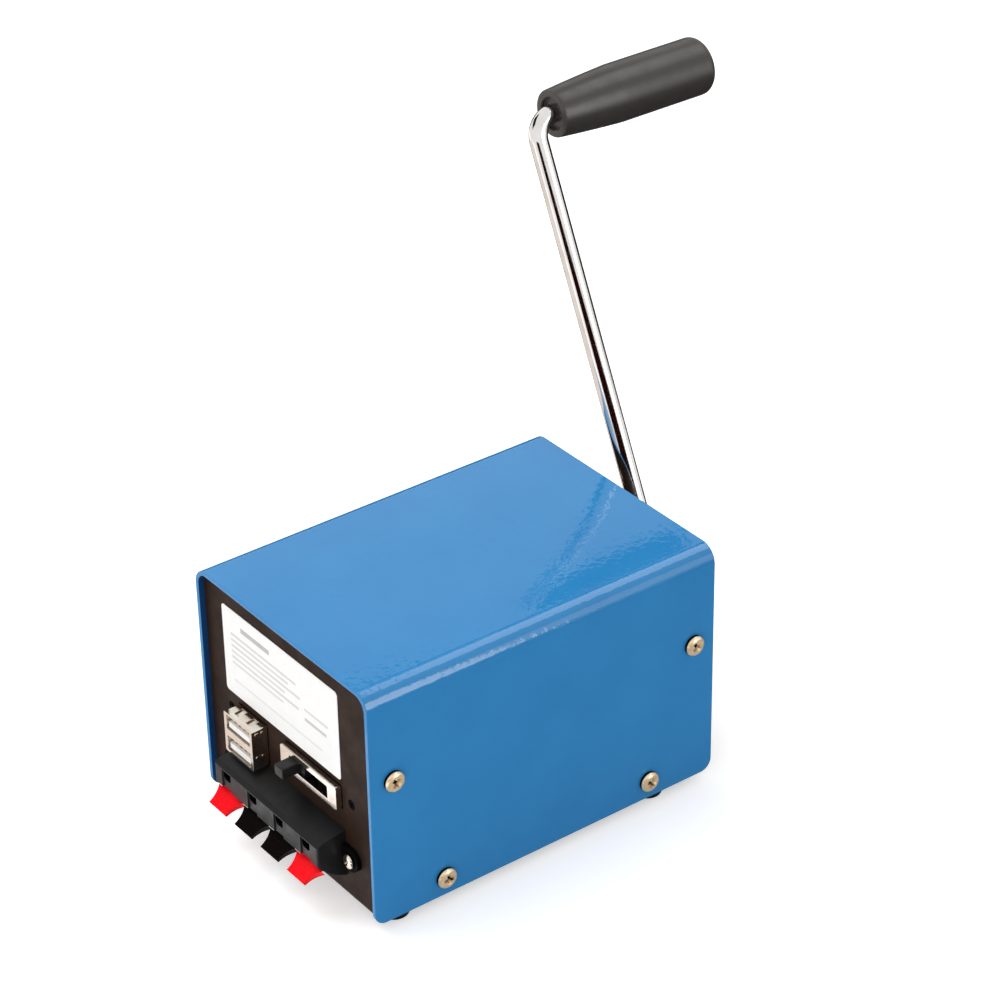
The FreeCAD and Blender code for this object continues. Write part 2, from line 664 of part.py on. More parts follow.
def gearbox_screws():
    screws = []
    for x, z in pillar_places():
        screws.append(pan_screw((x, rear_face, z), along_y, 2.4, 1.6, small_screw, 9.0))
        screws.append(pan_screw((x, front_plate_y, z), along_y * -1, 2.4, 1.6, small_screw, 7.0))
    return group(screws)


def crank_bearing():
    """Flanged housing on the rear panel, with the plain bore that the crank turns in."""
    bore_radius = rod_radius + running_gap
    flange_y, nose_y = rear_face + bearing_thick, rear_face + bearing_length
    points = [(rear_plate_y, bore_radius), (rear_plate_y, bearing_spigot), (rear_face, bearing_spigot),
              (rear_face, bearing_flange), (flange_y - 0.6, bearing_flange), (flange_y, bearing_flange - 0.6),
              (flange_y, 7.0), (nose_y, 6.4), (nose_y, bore_radius)]
    housing = turned(points, (0, 0, crank_z), along_y)
    return housing.cut(group([bore(x, z, small_screw + thread_gap) for x, z in bearing_screw_places()]))


def bearing_screws():
    return group([pan_screw((x, rear_face + bearing_thick, z), along_y, 2.1, 1.4, small_screw, 6.0)
                  for x, z in bearing_screw_places()])


def crank_bush():
    y0, y1, room = front_plate_y, front_plate_y + plate_thick, rod_radius + running_gap
    points = [(y0, room), (y0, bush_spigot), (y1, bush_spigot), (y1, bush_spigot + 2),
              (y1 + 1.5, bush_spigot + 2), (y1 + 1.5, room)]
    return turned(points, (0, 0, crank_z), along_y)


def crank_collar():
    collar = ring((0, collar_y, crank_z), along_y, collar_radius, rod_radius + press_gap, collar_length)
    return collar.cut(rod((0, collar_screw_y, crank_z), along_z, grub_radius + thread_gap, 8))


def grub_screws():
    """Set screws of the gear's hub and of the collar, both against the rod's upper side."""
    low = crank_z + rod_radius + 0.1
    return group([rod((0, y, low), along_z, grub_radius, grub_length) for y in (hub_screw_y, collar_screw_y)])


def crank_rod():
    """One bent rod: shaft, arm and handle spindle, each bend a quarter turn."""
    up = vec(-math.sin(math.radians(arm_lean)), 0, math.cos(math.radians(arm_lean)))
    centre = vec(0, 0, crank_z)
    first, second = centre + along_y * arm_y, centre + along_y * arm_y + up * arm_length
    shaft_start = centre + along_y * (front_plate_y + 0.5)
    bend_cut = rod_bend * (1 - math.cos(math.radians(45)))
    in_a, out_a = first - along_y * rod_bend, first + up * rod_bend
    mid_a = first + (up - along_y) * bend_cut
    in_b, out_b = second - up * rod_bend, second + along_y * rod_bend
    mid_b = second + (along_y - up) * bend_cut
    spindle_end = second + along_y * (rod_bend + grip_length - grip_pocket_depth)
    path = Part.Wire([Part.makeLine(shaft_start, in_a), Part.Arc(in_a, mid_a, out_a).toShape(),
                      Part.makeLine(out_a, in_b), Part.Arc(in_b, mid_b, out_b).toShape(),
                      Part.makeLine(out_b, spindle_end)])
    section = Part.Wire(Part.makeCircle(rod_radius, shaft_start, along_y))
    tapped = rod(tuple(spindle_end - along_y * 9.5), along_y, case_screw + thread_gap, 10)
    return path.makePipeShell([section], True, False).cut(tapped)


def grip_centre():
    return polar(0, crank_z, arm_length, -arm_lean)


def grip():
    """Turned handle: tapered root, nearly straight barrel, rounded end with a sunk screw."""
    x, z = grip_centre()
    room, pocket, length = rod_radius + running_gap, grip_pocket, grip_length
    floor = length - grip_pocket_depth - seat_gap
    inset = grip_end_round * (1 - math.sqrt(0.5))
    outline = Part.Wire([
        Part.makeLine(vec(room, 0, grip_mouth), vec(pocket, 0, grip_mouth)),
        Part.makeLine(vec(pocket, 0, grip_mouth), vec(pocket, 0, 0)),
        Part.makeLine(vec(pocket, 0, 0), vec(grip_small, 0, 0)),
        Part.Arc(vec(grip_small, 0, 0), vec(grip_swell, 0, grip_swell_at),
                 vec(grip_large, 0, grip_taper)).toShape(),
        Part.makeLine(vec(grip_large, 0, grip_taper), vec(grip_large, 0, length - grip_end_round)),
        Part.Arc(vec(grip_large, 0, length - grip_end_round), vec(grip_large - inset, 0, length - inset),
                 vec(grip_large - grip_end_round, 0, length)).toShape(),
        Part.makeLine(vec(grip_large - grip_end_round, 0, length), vec(pocket, 0, length)),
        Part.makeLine(vec(pocket, 0, length), vec(pocket, 0, floor)),
        Part.makeLine(vec(pocket, 0, floor), vec(room, 0, floor)),
        Part.makeLine(vec(room, 0, floor), vec(room, 0, grip_mouth))])
    solid = Part.Face(outline).revolve(vec(0, 0, 0), along_z, 360)
    solid.Placement = FreeCAD.Placement(vec(x, grip_start, z), FreeCAD.Rotation(along_z, along_y))
    return solid


# ---------------------------------------------------------------- generator

def can_screw_places():
    return [polar(motor_x, motor_z, can_screw_circle, angle) for angle in (45, 225)]


def generator_can():
    """Deep drawn steel can with a bearing boss that sits in the gearbox plate."""
    inside, boss_end = can_radius - can_wall, can_back + plate_thick - 0.1
    points = [(can_front, inside), (can_front, can_radius), (can_back - 1.0, can_radius),
              (can_back, can_radius - 1.0), (can_back, boss_radius), (boss_end, boss_radius),
              (boss_end, shaft_radius + running_gap), (can_back - can_wall, shaft_radius + running_gap),
              (can_back - can_wall, inside)]
    can = turned(points, (motor_x, 0, motor_z), along_y)
    holes = [rod((x, can_back - 3, z), along_y, small_screw + thread_gap, 5) for x, z in can_screw_places()]
    return can.cut(group(holes))


def can_screws():
    return group([pan_screw((x, front_plate_y + plate_thick, z), along_y, 2.0, 1.2, small_screw, 4.2)
                  for x, z in can_screw_places()])


def magnets():
    """Two curved magnets against the can's inner wall, left and right of the rotor."""
    outer = can_radius - can_wall - thread_gap
    tube = ring((motor_x, magnet_y, motor_z), along_y, outer, magnet_inner, magnet_length)
    gap = box(-20, 20, magnet_y, magnet_y + magnet_length, 0, 20)
    cuts = []
    for middle in (0, 180):
        for lean in (-1, 1):
            wedge = gap.copy()
            wedge.translate(vec(-lean * 20, 0, 0))
            wedge.rotate(vec(0, 0, 0), along_y, middle + lean * (90 - magnet_angle / 2))
            wedge.translate(vec(motor_x, 0, motor_z))
            cuts.append(wedge)
    return tube.cut(cuts[0].common(cuts[1]).fuse(cuts[2].common(cuts[3])))


def armature_core():
    """Laminated stack: poles with wide shoes round a narrow hub."""
    y0, length = armature_y, armature_length
    core = ring((motor_x, y0, motor_z), along_y, core_radius, shaft_radius + press_gap, length)
    cuts = []
    for i in range(poles):
        angle = 360 / poles * (i + 0.5)
        mouth = box(-0.9, 0.9, y0, y0 + length, slot_centre, 13)
        mouth.rotate(vec(0, 0, 0), along_y, angle)
        mouth.translate(vec(motor_x, 0, motor_z))
        x, z = polar(motor_x, motor_z, slot_centre, angle)
        cuts += [mouth, rod((x, y0, z), along_y, slot_radius, length)]
    return core.cut(group(cuts))


def armature_winding():
    """Copper in the slots, joined by the coil ends."""
    y0, coil_end = armature_y, 3.0
    pieces = []
    for i in range(poles):
        x, z = polar(motor_x, motor_z, slot_centre, 360 / poles * (i + 0.5))
        pieces.append(rod((x, y0 - coil_end, z), along_y, slot_radius - 0.2, armature_length + 2 * coil_end))
    outer, inner = core_radius - 1.8, commutator_radius
    for y in (y0 - coil_end, y0 + armature_length + 0.1):
        pieces.append(ring((motor_x, y, motor_z), along_y, outer, inner, coil_end - 0.1))
    return fuse(pieces)


def commutator():
    y0 = can_front + 1.5
    radius, length = commutator_radius, commutator_length
    drum = ring((motor_x, y0, motor_z), along_y, radius, shaft_radius + press_gap, length)
    cuts = []
    for i in range(poles):
        slit = box(-0.2, 0.2, y0 - 1, y0 + length - 1.3, radius - 1, radius + 1)
        slit.rotate(vec(0, 0, 0), along_y, 360 / poles * i)
        slit.translate(vec(motor_x, 0, motor_z))
        cuts.append(slit)
    return drum.cut(group(cuts))


def generator_shaft():
    start, end = can_front - 1.6, narrow_gear_y + narrow_gear_face + 0.6
    return rod((motor_x, start, motor_z), along_y, shaft_radius, end - start)


def end_cap():
    """Moulded cap with a spigot in the can, a shaft bearing and room for the brushes."""
    inside = can_radius - can_wall - thread_gap
    shaft_room = shaft_radius + running_gap
    points = [(can_front - 3.0, 4.5), (can_front - 2.2, 4.5), (can_front - 2.2, can_radius - 0.8),
              (can_front, can_radius - 0.1), (can_front, inside), (can_front + 4.0, inside),
              (can_front + 4.0, inside - 2.0), (can_front + 0.6, inside - 2.0), (can_front + 0.6, shaft_room),
              (can_front - 1.9, shaft_room), (can_front - 1.9, 0), (can_front - 3.0, 0)]
    cap = turned(points, (motor_x, 0, motor_z), along_y)
    slots = []
    for side in (-1, 1):
        x = motor_x + side * tab_offset
        slots.append(box(x - tab_half - thread_gap, x + tab_half + thread_gap, can_front - 4, can_front + 1,
                         motor_z - 0.3, motor_z + 0.3))
    return cap.cut(group(slots))


def generator_tab(side):
    """Solder tab that passes through the cap and carries the brush inside."""
    x = motor_x + side * tab_offset
    blade = box(x - tab_half, x + tab_half, can_front - tab_length, can_front + 4.5, motor_z - 0.25,
                motor_z + 0.25)
    x0, x1 = sorted((motor_x + side * (commutator_radius + seat_gap), x - side * tab_half))
    brush = box(x0, x1, can_front + 2.6, can_front + 4.5, motor_z - 1.5, motor_z + 1.5)
    return blade.fuse(brush).removeSplitter()


# ---------------------------------------------------------------- wires

def wire_along(edges):
    """Round wire along straight runs and tangent arcs, its first run parallel to Y."""
    start = edges[0].valueAt(edges[0].FirstParameter)
    section = Part.Wire(Part.makeCircle(wire_radius, start, along_y))
    return Part.Wire(edges).makePipeShell([section], True, False)


def generator_wire(side):
    """Two opposite bends in one slanted plane, from a solder tab to the board's back."""
    start = vec(motor_x + side * tab_offset, can_front - tab_length, motor_z)
    end = vec(wire_pad_x + side * wire_pad_pitch / 2, board_back, wire_pad_z)
    shift = vec(end.x - start.x, 0, end.z - start.z)
    rise = shift.Length
    sideways = shift.normalize()
    run = start.y - end.y
    lead = 2.0
    radius = ((run - 2 * lead) ** 2 + rise ** 2) / (4 * rise)
    angle = math.asin((run - 2 * lead) / (2 * radius))

    def on_arc(centre, sign, turn):
        reach = sign * radius
        return centre + sideways * (reach * math.cos(turn)) - along_y * (reach * math.sin(turn))

    first = start - along_y * lead
    last = end + along_y * lead
    centre_a = first + sideways * radius
    centre_b = last - sideways * radius
    half = (first + last) * 0.5
    edges = [Part.makeLine(start, first),
             Part.Arc(first, on_arc(centre_a, -1, -angle / 2), half).toShape(),
             Part.Arc(half, on_arc(centre_b, 1, -angle / 2), last).toShape(),
             Part.makeLine(last, end)]
    return wire_along(edges)


def terminal_wire(index):
    """From a terminal contact back and up in a half turn to the board's back."""
    x, low, turn = lever_x(index), entry_z - entry_height / 2 + 0.3, 4.0
    start, bend = vec(x, board_front, low), vec(x, board_back + 3.0, low)
    top = vec(x, board_back + 3.0, low + 2 * turn)
    middle = vec(x, board_back + 3.0 + turn, low + turn)
    return wire_along([Part.makeLine(start, bend), Part.Arc(bend, middle, top).toShape(),
                       Part.makeLine(top, vec(x, board_back, low + 2 * turn))])


def grip_washer():
    x, z = grip_centre()
    end = grip_start + grip_length - grip_pocket_depth
    return ring((x, end, z), along_y, grip_pocket - seat_gap, case_screw + thread_gap, washer_thick)


def grip_screw():
    x, z = grip_centre()
    seat = grip_start + grip_length - grip_pocket_depth + washer_thick
    return pan_screw((x, seat, z), along_y, 3.2, 2.2, case_screw, 9.0)


def build():
    os.makedirs("parts", exist_ok=True)
    save("cover", cover())
    save("chassis", chassis())
    save("cover_screws", cover_screws())
    for name, x, y in (("front_left", -1, foot_front_y), ("front_right", 1, foot_front_y),
                       ("back_left", -1, foot_back_y), ("back_right", 1, foot_back_y)):
        save("foot_" + name, foot(x * foot_x, y))
    save("front_label", front_label())
    save("control_board", control_board())
    save("board_posts", board_posts())
    save("panel_screws", panel_screws())
    save("board_screws", board_screws())
    save("usb_shell", usb_shell())
    save("usb_insulator", usb_insulator())
    save("usb_contacts", usb_contacts())
    save("switch_frame", switch_frame())
    save("switch_base", switch_base())
    save("switch_contacts", switch_contacts())
    save("switch_knob", switch_knob())
    save("rectifier", rectifier())
    save("regulator", regulator())
    save("capacitors", capacitors())
    save("inductor", inductor())
    save("terminal_body", terminal_body())
    save("terminal_pin", hinge_pin())
    for i in range(lever_count):
        save("terminal_lever_" + str(i + 1), lever(i))
    save("terminal_contacts", terminal_contacts())
    save("terminal_screws", terminal_screws())
    save("terminal_wires", group([terminal_wire(i) for i in range(lever_count)]))
    save("crank_rod", crank_rod())
    save("crank_gear", crank_gear())
    save("crank_collar", crank_collar())
    save("grub_screws", grub_screws())
    save("crank_bearing", crank_bearing())
    save("bearing_screws", bearing_screws())
    save("crank_bush", crank_bush())
    save("grip", grip())
    save("grip_washer", grip_washer())
    save("grip_screw", grip_screw())
    save("gearbox_rear_plate", gearbox_rear_plate())
    save("gearbox_front_plate", gearbox_front_plate())
    save("gearbox_pillars", gearbox_pillars())
    save("gearbox_screws", gearbox_screws())
    save("double_gear", double_gear())
    save("double_gear_pin", double_gear_pin())
    save("motor_pinion", motor_pinion())
    save("generator_can", generator_can())
    save("can_screws", can_screws())
    save("magnets", magnets())
    save("armature_core", armature_core())
    save("armature_winding", armature_winding())
    save("commutator", commutator())
    save("generator_shaft", generator_shaft())
    save("end_cap", end_cap())
    save("generator_tabs", group([generator_tab(-1), generator_tab(1)]))
    save("generator_wire_left", generator_wire(-1))
    save("generator_wire_right", generator_wire(1))


build()
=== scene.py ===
import bpy
import bmesh
import math
from mathutils import Vector, Matrix


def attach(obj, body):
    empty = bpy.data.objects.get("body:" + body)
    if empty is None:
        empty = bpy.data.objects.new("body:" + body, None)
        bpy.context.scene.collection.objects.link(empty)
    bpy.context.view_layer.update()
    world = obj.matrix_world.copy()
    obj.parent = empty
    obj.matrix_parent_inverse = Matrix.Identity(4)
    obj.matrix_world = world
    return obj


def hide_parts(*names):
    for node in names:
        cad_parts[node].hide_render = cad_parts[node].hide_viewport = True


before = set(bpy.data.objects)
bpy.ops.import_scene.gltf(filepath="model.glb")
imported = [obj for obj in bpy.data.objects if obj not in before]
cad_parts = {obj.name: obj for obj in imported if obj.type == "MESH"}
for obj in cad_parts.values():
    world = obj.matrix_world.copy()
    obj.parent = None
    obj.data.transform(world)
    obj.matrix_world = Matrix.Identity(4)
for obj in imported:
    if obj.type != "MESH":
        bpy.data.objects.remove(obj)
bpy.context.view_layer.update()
print("frame loaded:", len(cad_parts), "nodes")

mm = 0.001      # pieces are written in millimetres


def clearSelection():
    if bpy.context.object and bpy.context.object.mode != "OBJECT":
        bpy.ops.object.mode_set(mode="OBJECT")
    bpy.ops.object.select_all(action="DESELECT")


def pick(piece):
    clearSelection()
    piece.select_set(True)
    bpy.context.view_layer.objects.active = piece


def settle(piece):      # place, turn and size go into the mesh
    pick(piece)
    bpy.ops.object.transform_apply(location=True, rotation=True, scale=True)
    return piece


def addBlock(low, high):
    clearSelection()
    middle = [(a + b) / 2 * mm for a, b in zip(low, high)]
    size = [(b - a) * mm for a, b in zip(low, high)]
    bpy.ops.mesh.primitive_cube_add(size=1, location=middle, scale=size)
    return settle(bpy.context.object)


def addRound(start, towards, radius, length, sides=48):
    clearSelection()
    towards = Vector(towards).normalized()
    middle = (Vector(start) + towards * length / 2) * mm
    turn = towards.to_track_quat("Z", "Y").to_euler()
    bpy.ops.mesh.primitive_cylinder_add(vertices=sides, radius=radius * mm, depth=length * mm,
                                        location=middle, rotation=turn)
    return settle(bpy.context.object)


def startEdit(piece):
    pick(piece)
    bpy.ops.object.mode_set(mode="EDIT")


def endEdit():
    bpy.ops.object.mode_set(mode="OBJECT")


def choose(kind, test):      # in edit mode, by middle (millimetres) and direction
    bpy.ops.mesh.select_mode(type=kind)
    bpy.ops.mesh.select_all(action="DESELECT")
    mesh = bpy.context.edit_object.data
    form = bmesh.from_edit_mesh(mesh)
    form.normal_update()
    if kind == "VERT":
        found = [v for v in form.verts if test(v.co / mm, v.normal)]
    elif kind == "EDGE":
        found = [e for e in form.edges if test((e.verts[0].co + e.verts[1].co) / 2 / mm,
                                               (e.verts[1].co - e.verts[0].co).normalized())]
    else:
        found = [f for f in form.faces if test(f.calc_center_median() / mm, f.normal)]
    for part in found:
        part.select_set(True)
    bmesh.update_edit_mesh(mesh)


def frontToBack(at, along):
    return abs(along.y) > 0.9


def roundEdges(piece, width, steps, test):
    startEdit(piece)
    choose("EDGE", test)
    bpy.ops.mesh.bevel(offset=width * mm, segments=steps, affect="EDGES", clamp_overlap=True)
    endEdit()
    return piece


def carve(piece, cutters, way="DIFFERENCE"):
    for cutter in cutters:
        pick(piece)
        cut = piece.modifiers.new("carve", "BOOLEAN")
        cut.operation = way
        cut.solver = "EXACT"
        cut.object = cutter
        bpy.ops.object.modifier_apply(modifier="carve")
        bpy.data.objects.remove(cutter)
    return piece


def join(pieces):
    if len(pieces) == 1:
        return pieces[0]
    clearSelection()
    for piece in pieces:
        piece.select_set(True)
    bpy.context.view_layer.objects.active = pieces[0]
    bpy.ops.object.join()
    return bpy.context.object


def copyOf(piece):
    twin = piece.copy()
    twin.data = piece.data.copy()
    bpy.context.scene.collection.objects.link(twin)
    return twin


def putAt(piece, place, towards=(0, 0, 1), spin=0):      # from upright at the origin to its place
    piece.rotation_mode = "QUATERNION"
    turn = Vector(towards).to_track_quat("Z", "Y")
    piece.rotation_quaternion = turn @ Matrix.Rotation(math.radians(spin), 3, "Z").to_quaternion()
    piece.location = Vector(place) * mm
    return settle(piece)


def outlinePlate(points, depth):      # corner points and the way the plate's thickness runs
    clearSelection()
    bpy.ops.mesh.primitive_circle_add(vertices=len(points), radius=mm, fill_type="NGON")
    piece = bpy.context.object
    startEdit(piece)
    form = bmesh.from_edit_mesh(piece.data)
    for vertex, point in zip(form.verts, points):
        vertex.co = Vector(point) * mm
    bmesh.update_edit_mesh(piece.data)
    bpy.ops.mesh.select_all(action="SELECT")
    bpy.ops.mesh.extrude_region_move(TRANSFORM_OT_translate={"value": Vector(depth) * mm})
    bpy.ops.mesh.select_all(action="SELECT")
    bpy.ops.mesh.normals_make_consistent(inside=False)
    endEdit()
    return piece


def turnOutline(points, steps=64, closed=False):      # (radius, height) points, spun about Z
    clearSelection()
    bpy.ops.mesh.primitive_circle_add(vertices=len(points), radius=mm)
    piece = bpy.context.object
    startEdit(piece)
    form = bmesh.from_edit_mesh(piece.data)
    form.verts.ensure_lookup_table()
    for vertex, (radius, height) in zip(form.verts, points):
        vertex.co = (radius * mm, 0, height * mm)
    if not closed:
        last = form.edges.get((form.verts[-1], form.verts[0]))
        form.edges.remove(last)
    bmesh.update_edit_mesh(piece.data)
    bpy.ops.mesh.select_all(action="SELECT")
    bpy.ops.mesh.spin(steps=steps, angle=2 * math.pi, center=(0, 0, 0), axis=(0, 0, 1))
    bpy.ops.mesh.select_all(action="SELECT")
    bpy.ops.mesh.remove_doubles(threshold=0.000002)
    bpy.ops.mesh.normals_make_consistent(inside=False)
    endEdit()
    return piece


def softenEdges(piece, width, steps=2, limit=35):
    pick(piece)
    soft = piece.modifiers.new("soften", "BEVEL")
    soft.width = width * mm
    soft.segments = steps
    soft.limit_method = "ANGLE"
    soft.angle_limit = math.radians(limit)
    soft.use_clamp_overlap = True
    bpy.ops.object.modifier_apply(modifier="soften")
    return piece


def twoFinishes(piece, main, second, test):      # the faces that pass the test get the second one
    piece.data.materials.append(finishes[main])
    piece.data.materials.append(finishes[second])
    startEdit(piece)
    choose("FACE", test)
    piece.active_material_index = 1
    bpy.ops.object.material_slot_assign()
    endEdit()
    return piece


# name, body and finish of a piece; stands names the nodes it replaces, finish None keeps what it has
def dress(piece, name, body, finish, stands, smooth=40):
    pick(piece)
    bpy.ops.object.shade_smooth_by_angle(angle=math.radians(smooth))
    even = piece.modifiers.new("even", "WEIGHTED_NORMAL")
    even.keep_sharp = True
    bpy.ops.object.modifier_apply(modifier="even")
    piece.name = name
    piece.data.name = name
    if finish:
        piece.data.materials.clear()
        piece.data.materials.append(finishes[finish])
    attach(piece, body)
    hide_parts(*stands)


# finishes: colours are written as they look, from 0 to 255

def tint(red, green, blue):
    def linear(value):
        value = value / 255
        return value / 12.92 if value < 0.04045 else ((value + 0.055) / 1.055) ** 2.4
    return (linear(red), linear(green), linear(blue), 1)


looks = {
    "bluePaint": {"colour": (46, 133, 193), "shade": (44, 129, 190), "rough": (0.04, 0.07), "grain": 45,
                  "bump": 0.34, "bumpGrain": 420, "gloss": 0.4,
                  "crowns": (("X", 0.010, 0.0383, 0.0008), ("Z", 0.0705, 0.0778, 0.0004))},
    # painted shade: the cover's blue made darker for its inner faces, which lie in shade
    "paintedShadeBlue": {"colour": (22, 66, 116), "shade": (18, 58, 106), "rough": (0.25, 0.4), "grain": 60,
                   "bump": 0.2, "bumpGrain": 500, "gloss": 0.2},
    "blackPanel": {"colour": (48, 32, 23), "shade": (40, 28, 22), "rough": (0.40, 0.54), "grain": 140,
                   "bump": 0.12, "bumpGrain": 2600, "gloss": 0.08},
    "rubber": {"colour": (24, 24, 25), "shade": (17, 17, 18), "rough": (0.65, 0.85), "grain": 900,
               "bump": 0.25, "bumpGrain": 3000, "gloss": 0.15},
    "nickel": {"colour": (240, 232, 222), "shade": (228, 217, 204), "metal": 1, "rough": (0.10, 0.18),
               "grain": 300, "bump": 0.02, "bumpGrain": 1200},
    "warmNickel": {"colour": (255, 230, 194), "shade": (246, 214, 170), "metal": 0.5, "rough": (0.14, 0.22),
                   "grain": 420, "bump": 0.03, "bumpGrain": 1600},
    "chrome": {"colour": (232, 230, 228), "shade": (222, 219, 216), "metal": 1, "rough": (0.03, 0.09),
               "grain": 200, "bump": 0.012, "bumpGrain": 700},
    "handle": {"colour": (52, 48, 45), "shade": (46, 42, 40), "rough": (0.32, 0.38), "grain": 240,
               "bump": 0.10, "bumpGrain": 1800, "gloss": 0.52},
    "blackMoulding": {"colour": (25, 25, 26), "shade": (20, 20, 21), "rough": (0.34, 0.48), "grain": 300,
                      "bump": 0.10, "bumpGrain": 2600, "gloss": 0.38},
    "blackLever": {"colour": (14, 10, 9), "shade": (10, 7, 6), "rough": (0.20, 0.30), "grain": 500,
                   "bump": 0.05, "bumpGrain": 1600, "gloss": 0.08},
    # painted shade: a near-black laid on faces that lie in shade, such as recesses, screw skirts and
    # crosses, wire entries and the terminal's ears
    "paintedShadeBlack": {"colour": (9, 8, 8), "shade": (6, 6, 6), "rough": (0.6, 0.8), "grain": 700,
                    "bump": 0.1, "bumpGrain": 2600, "gloss": 0.05},
    "redLever": {"colour": (253, 12, 28), "shade": (242, 8, 22), "rough": (0.20, 0.30), "grain": 500,
                 "bump": 0.05, "bumpGrain": 1600, "gloss": 0.15},
    "whiteMoulding": {"colour": (250, 249, 247), "shade": (244, 242, 238), "rough": (0.35, 0.5),
                      "grain": 600, "bump": 0.05, "bumpGrain": 2000},
    "gold": {"colour": (226, 190, 110), "shade": (205, 165, 88), "metal": 1, "rough": (0.16, 0.3),
             "grain": 900, "bump": 0.04, "bumpGrain": 2500},
    "blackScrew": {"colour": (24, 23, 23), "shade": (15, 15, 15), "metal": 0.6, "rough": (0.3, 0.5),
                   "grain": 800, "bump": 0.08, "bumpGrain": 2500},
    "zinc": {"colour": (190, 192, 190), "shade": (160, 164, 166), "metal": 1, "rough": (0.28, 0.48),
             "grain": 160, "bump": 0.06, "bumpGrain": 1200},
    "drawnSteel": {"colour": (176, 178, 180), "shade": (146, 148, 152), "metal": 1, "rough": (0.25, 0.42),
                   "grain": 120, "stretch": (1, 9, 1), "bump": 0.06, "bumpGrain": 900},
    "groundSteel": {"colour": (196, 196, 198), "shade": (160, 160, 164), "metal": 1, "rough": (0.18, 0.34),
                    "grain": 500, "stretch": (1, 0.1, 1), "bump": 0.05, "bumpGrain": 1600},
    "machinedBrass": {"colour": (214, 178, 98), "shade": (180, 142, 70), "metal": 1, "rough": (0.2, 0.36),
                      "grain": 380, "stretch": (1, 0.1, 1), "bump": 0.06, "bumpGrain": 1600},
    "bronze": {"colour": (176, 134, 84), "shade": (132, 96, 58), "metal": 1, "rough": (0.35, 0.6),
               "grain": 1400, "bump": 0.2, "bumpGrain": 3200},
    "copper": {"colour": (206, 120, 78), "shade": (168, 88, 52), "metal": 1, "rough": (0.22, 0.4),
               "grain": 700, "bump": 0.08, "bumpGrain": 1600},
    "windings": {"colour": (190, 96, 50), "shade": (96, 38, 18), "metal": 0.8, "rough": (0.25, 0.4),
                 "grain": 260, "pattern": "strands", "bands": 420, "bump": 0.5, "bumpGrain": 1600},
    "magnet": {"colour": (62, 62, 64), "shade": (42, 42, 44), "rough": (0.55, 0.75), "grain": 700,
               "bump": 0.3, "bumpGrain": 2600},
    "laminations": {"colour": (120, 120, 124), "shade": (60, 60, 64), "metal": 0.9, "rough": (0.3, 0.5),
                    "grain": 300, "pattern": "sheets", "bands": 300, "bump": 0.5, "bumpGrain": 1500},
    "boardGreen": {"colour": (20, 92, 52), "shade": (38, 128, 76), "rough": (0.25, 0.4), "grain": 220,
                   "pattern": "tracks", "bands": 260, "bump": 0.1, "bumpGrain": 1500},
    "blackComponent": {"colour": (40, 40, 42), "shade": (28, 28, 30), "rough": (0.5, 0.65), "grain": 900,
                       "bump": 0.15, "bumpGrain": 3000},
    "canMetal": {"colour": (196, 198, 204), "shade": (168, 170, 178), "metal": 1, "rough": (0.25, 0.4),
                 "grain": 300, "stretch": (1, 0.1, 1), "bump": 0.04, "bumpGrain": 1200},
    "blackWire": {"colour": (30, 30, 32), "shade": (22, 22, 24), "rough": (0.3, 0.45), "grain": 400,
                  "bump": 0.05, "bumpGrain": 1200},
    "redWire": {"colour": (190, 26, 30), "shade": (165, 18, 22), "rough": (0.3, 0.45), "grain": 400,
                "bump": 0.05, "bumpGrain": 1200},
}
finishes = {}


def feed(tree, shader, inputs):      # each input, by name or number, gets a value or another node's socket
    for name, value in inputs.items():
        if isinstance(value, bpy.types.NodeSocket):
            tree.links.new(value, shader.inputs[name])
        else:
            shader.inputs[name].default_value = value


def node(tree, kind, inputs=None, **settings):
    made = tree.nodes.new("ShaderNode" + kind)
    for name, value in settings.items():
        setattr(made, name, value)
    feed(tree, made, inputs or {})
    return made


def maths(tree, work, first, second=0):
    return node(tree, "Math", {0: first, 1: second}, operation=work).outputs[0]


def axesOf(tree, place):
    return node(tree, "SeparateXYZ", {0: place}).outputs


def startFinish(name):
    material = bpy.data.materials.new(name)
    material.use_nodes = True
    tree = material.node_tree
    shader = tree.nodes["Principled BSDF"]
    place = node(tree, "TexCoord").outputs["Object"]
    finishes[name] = material
    return tree, shader, place


def noiseOn(tree, place, grain, stretch=(1, 1, 1), detail=3):
    mapping = node(tree, "Mapping", {"Scale": stretch, "Vector": place})
    noise = node(tree, "TexNoise", {"Scale": grain, "Detail": detail, "Vector": mapping.outputs[0]})
    return noise.outputs["Fac"]


def ramp(tree, value, low, high, start=0.35, end=0.65):      # noise lies mostly between start and end
    stops = node(tree, "MapRange", {"Value": value, "From Min": start, "From Max": end, "To Min": low,
                                    "To Max": high})
    return stops.outputs["Result"]


def mixColours(tree, share, first, second):
    # of the mix node's sockets for numbers, vectors and colours, 6, 7 and 2 are those for colours
    mix = node(tree, "Mix", {0: share, 6: first, 7: second}, data_type="RGBA")
    return mix.outputs[2]


grainReach = 0.0002      # metres that the grain stands out at strength 1


def bumpFrom(tree, height, strength, reach=grainReach, below=None, sunk=False):
    inputs = {"Strength": strength, "Distance": reach, "Height": height}
    if below:
        inputs["Normal"] = below
    return node(tree, "Bump", inputs, invert=sunk).outputs[0]


# the sheet falls away by drop metres between start and end, towards a fold
def addCrown(tree, place, axis, start, end, drop, below):
    aside = maths(tree, "ABSOLUTE", axesOf(tree, place)[axis])
    share = ramp(tree, aside, 0, 1, start, end)
    return bumpFrom(tree, maths(tree, "MULTIPLY", share, share), 1, drop, below, True)


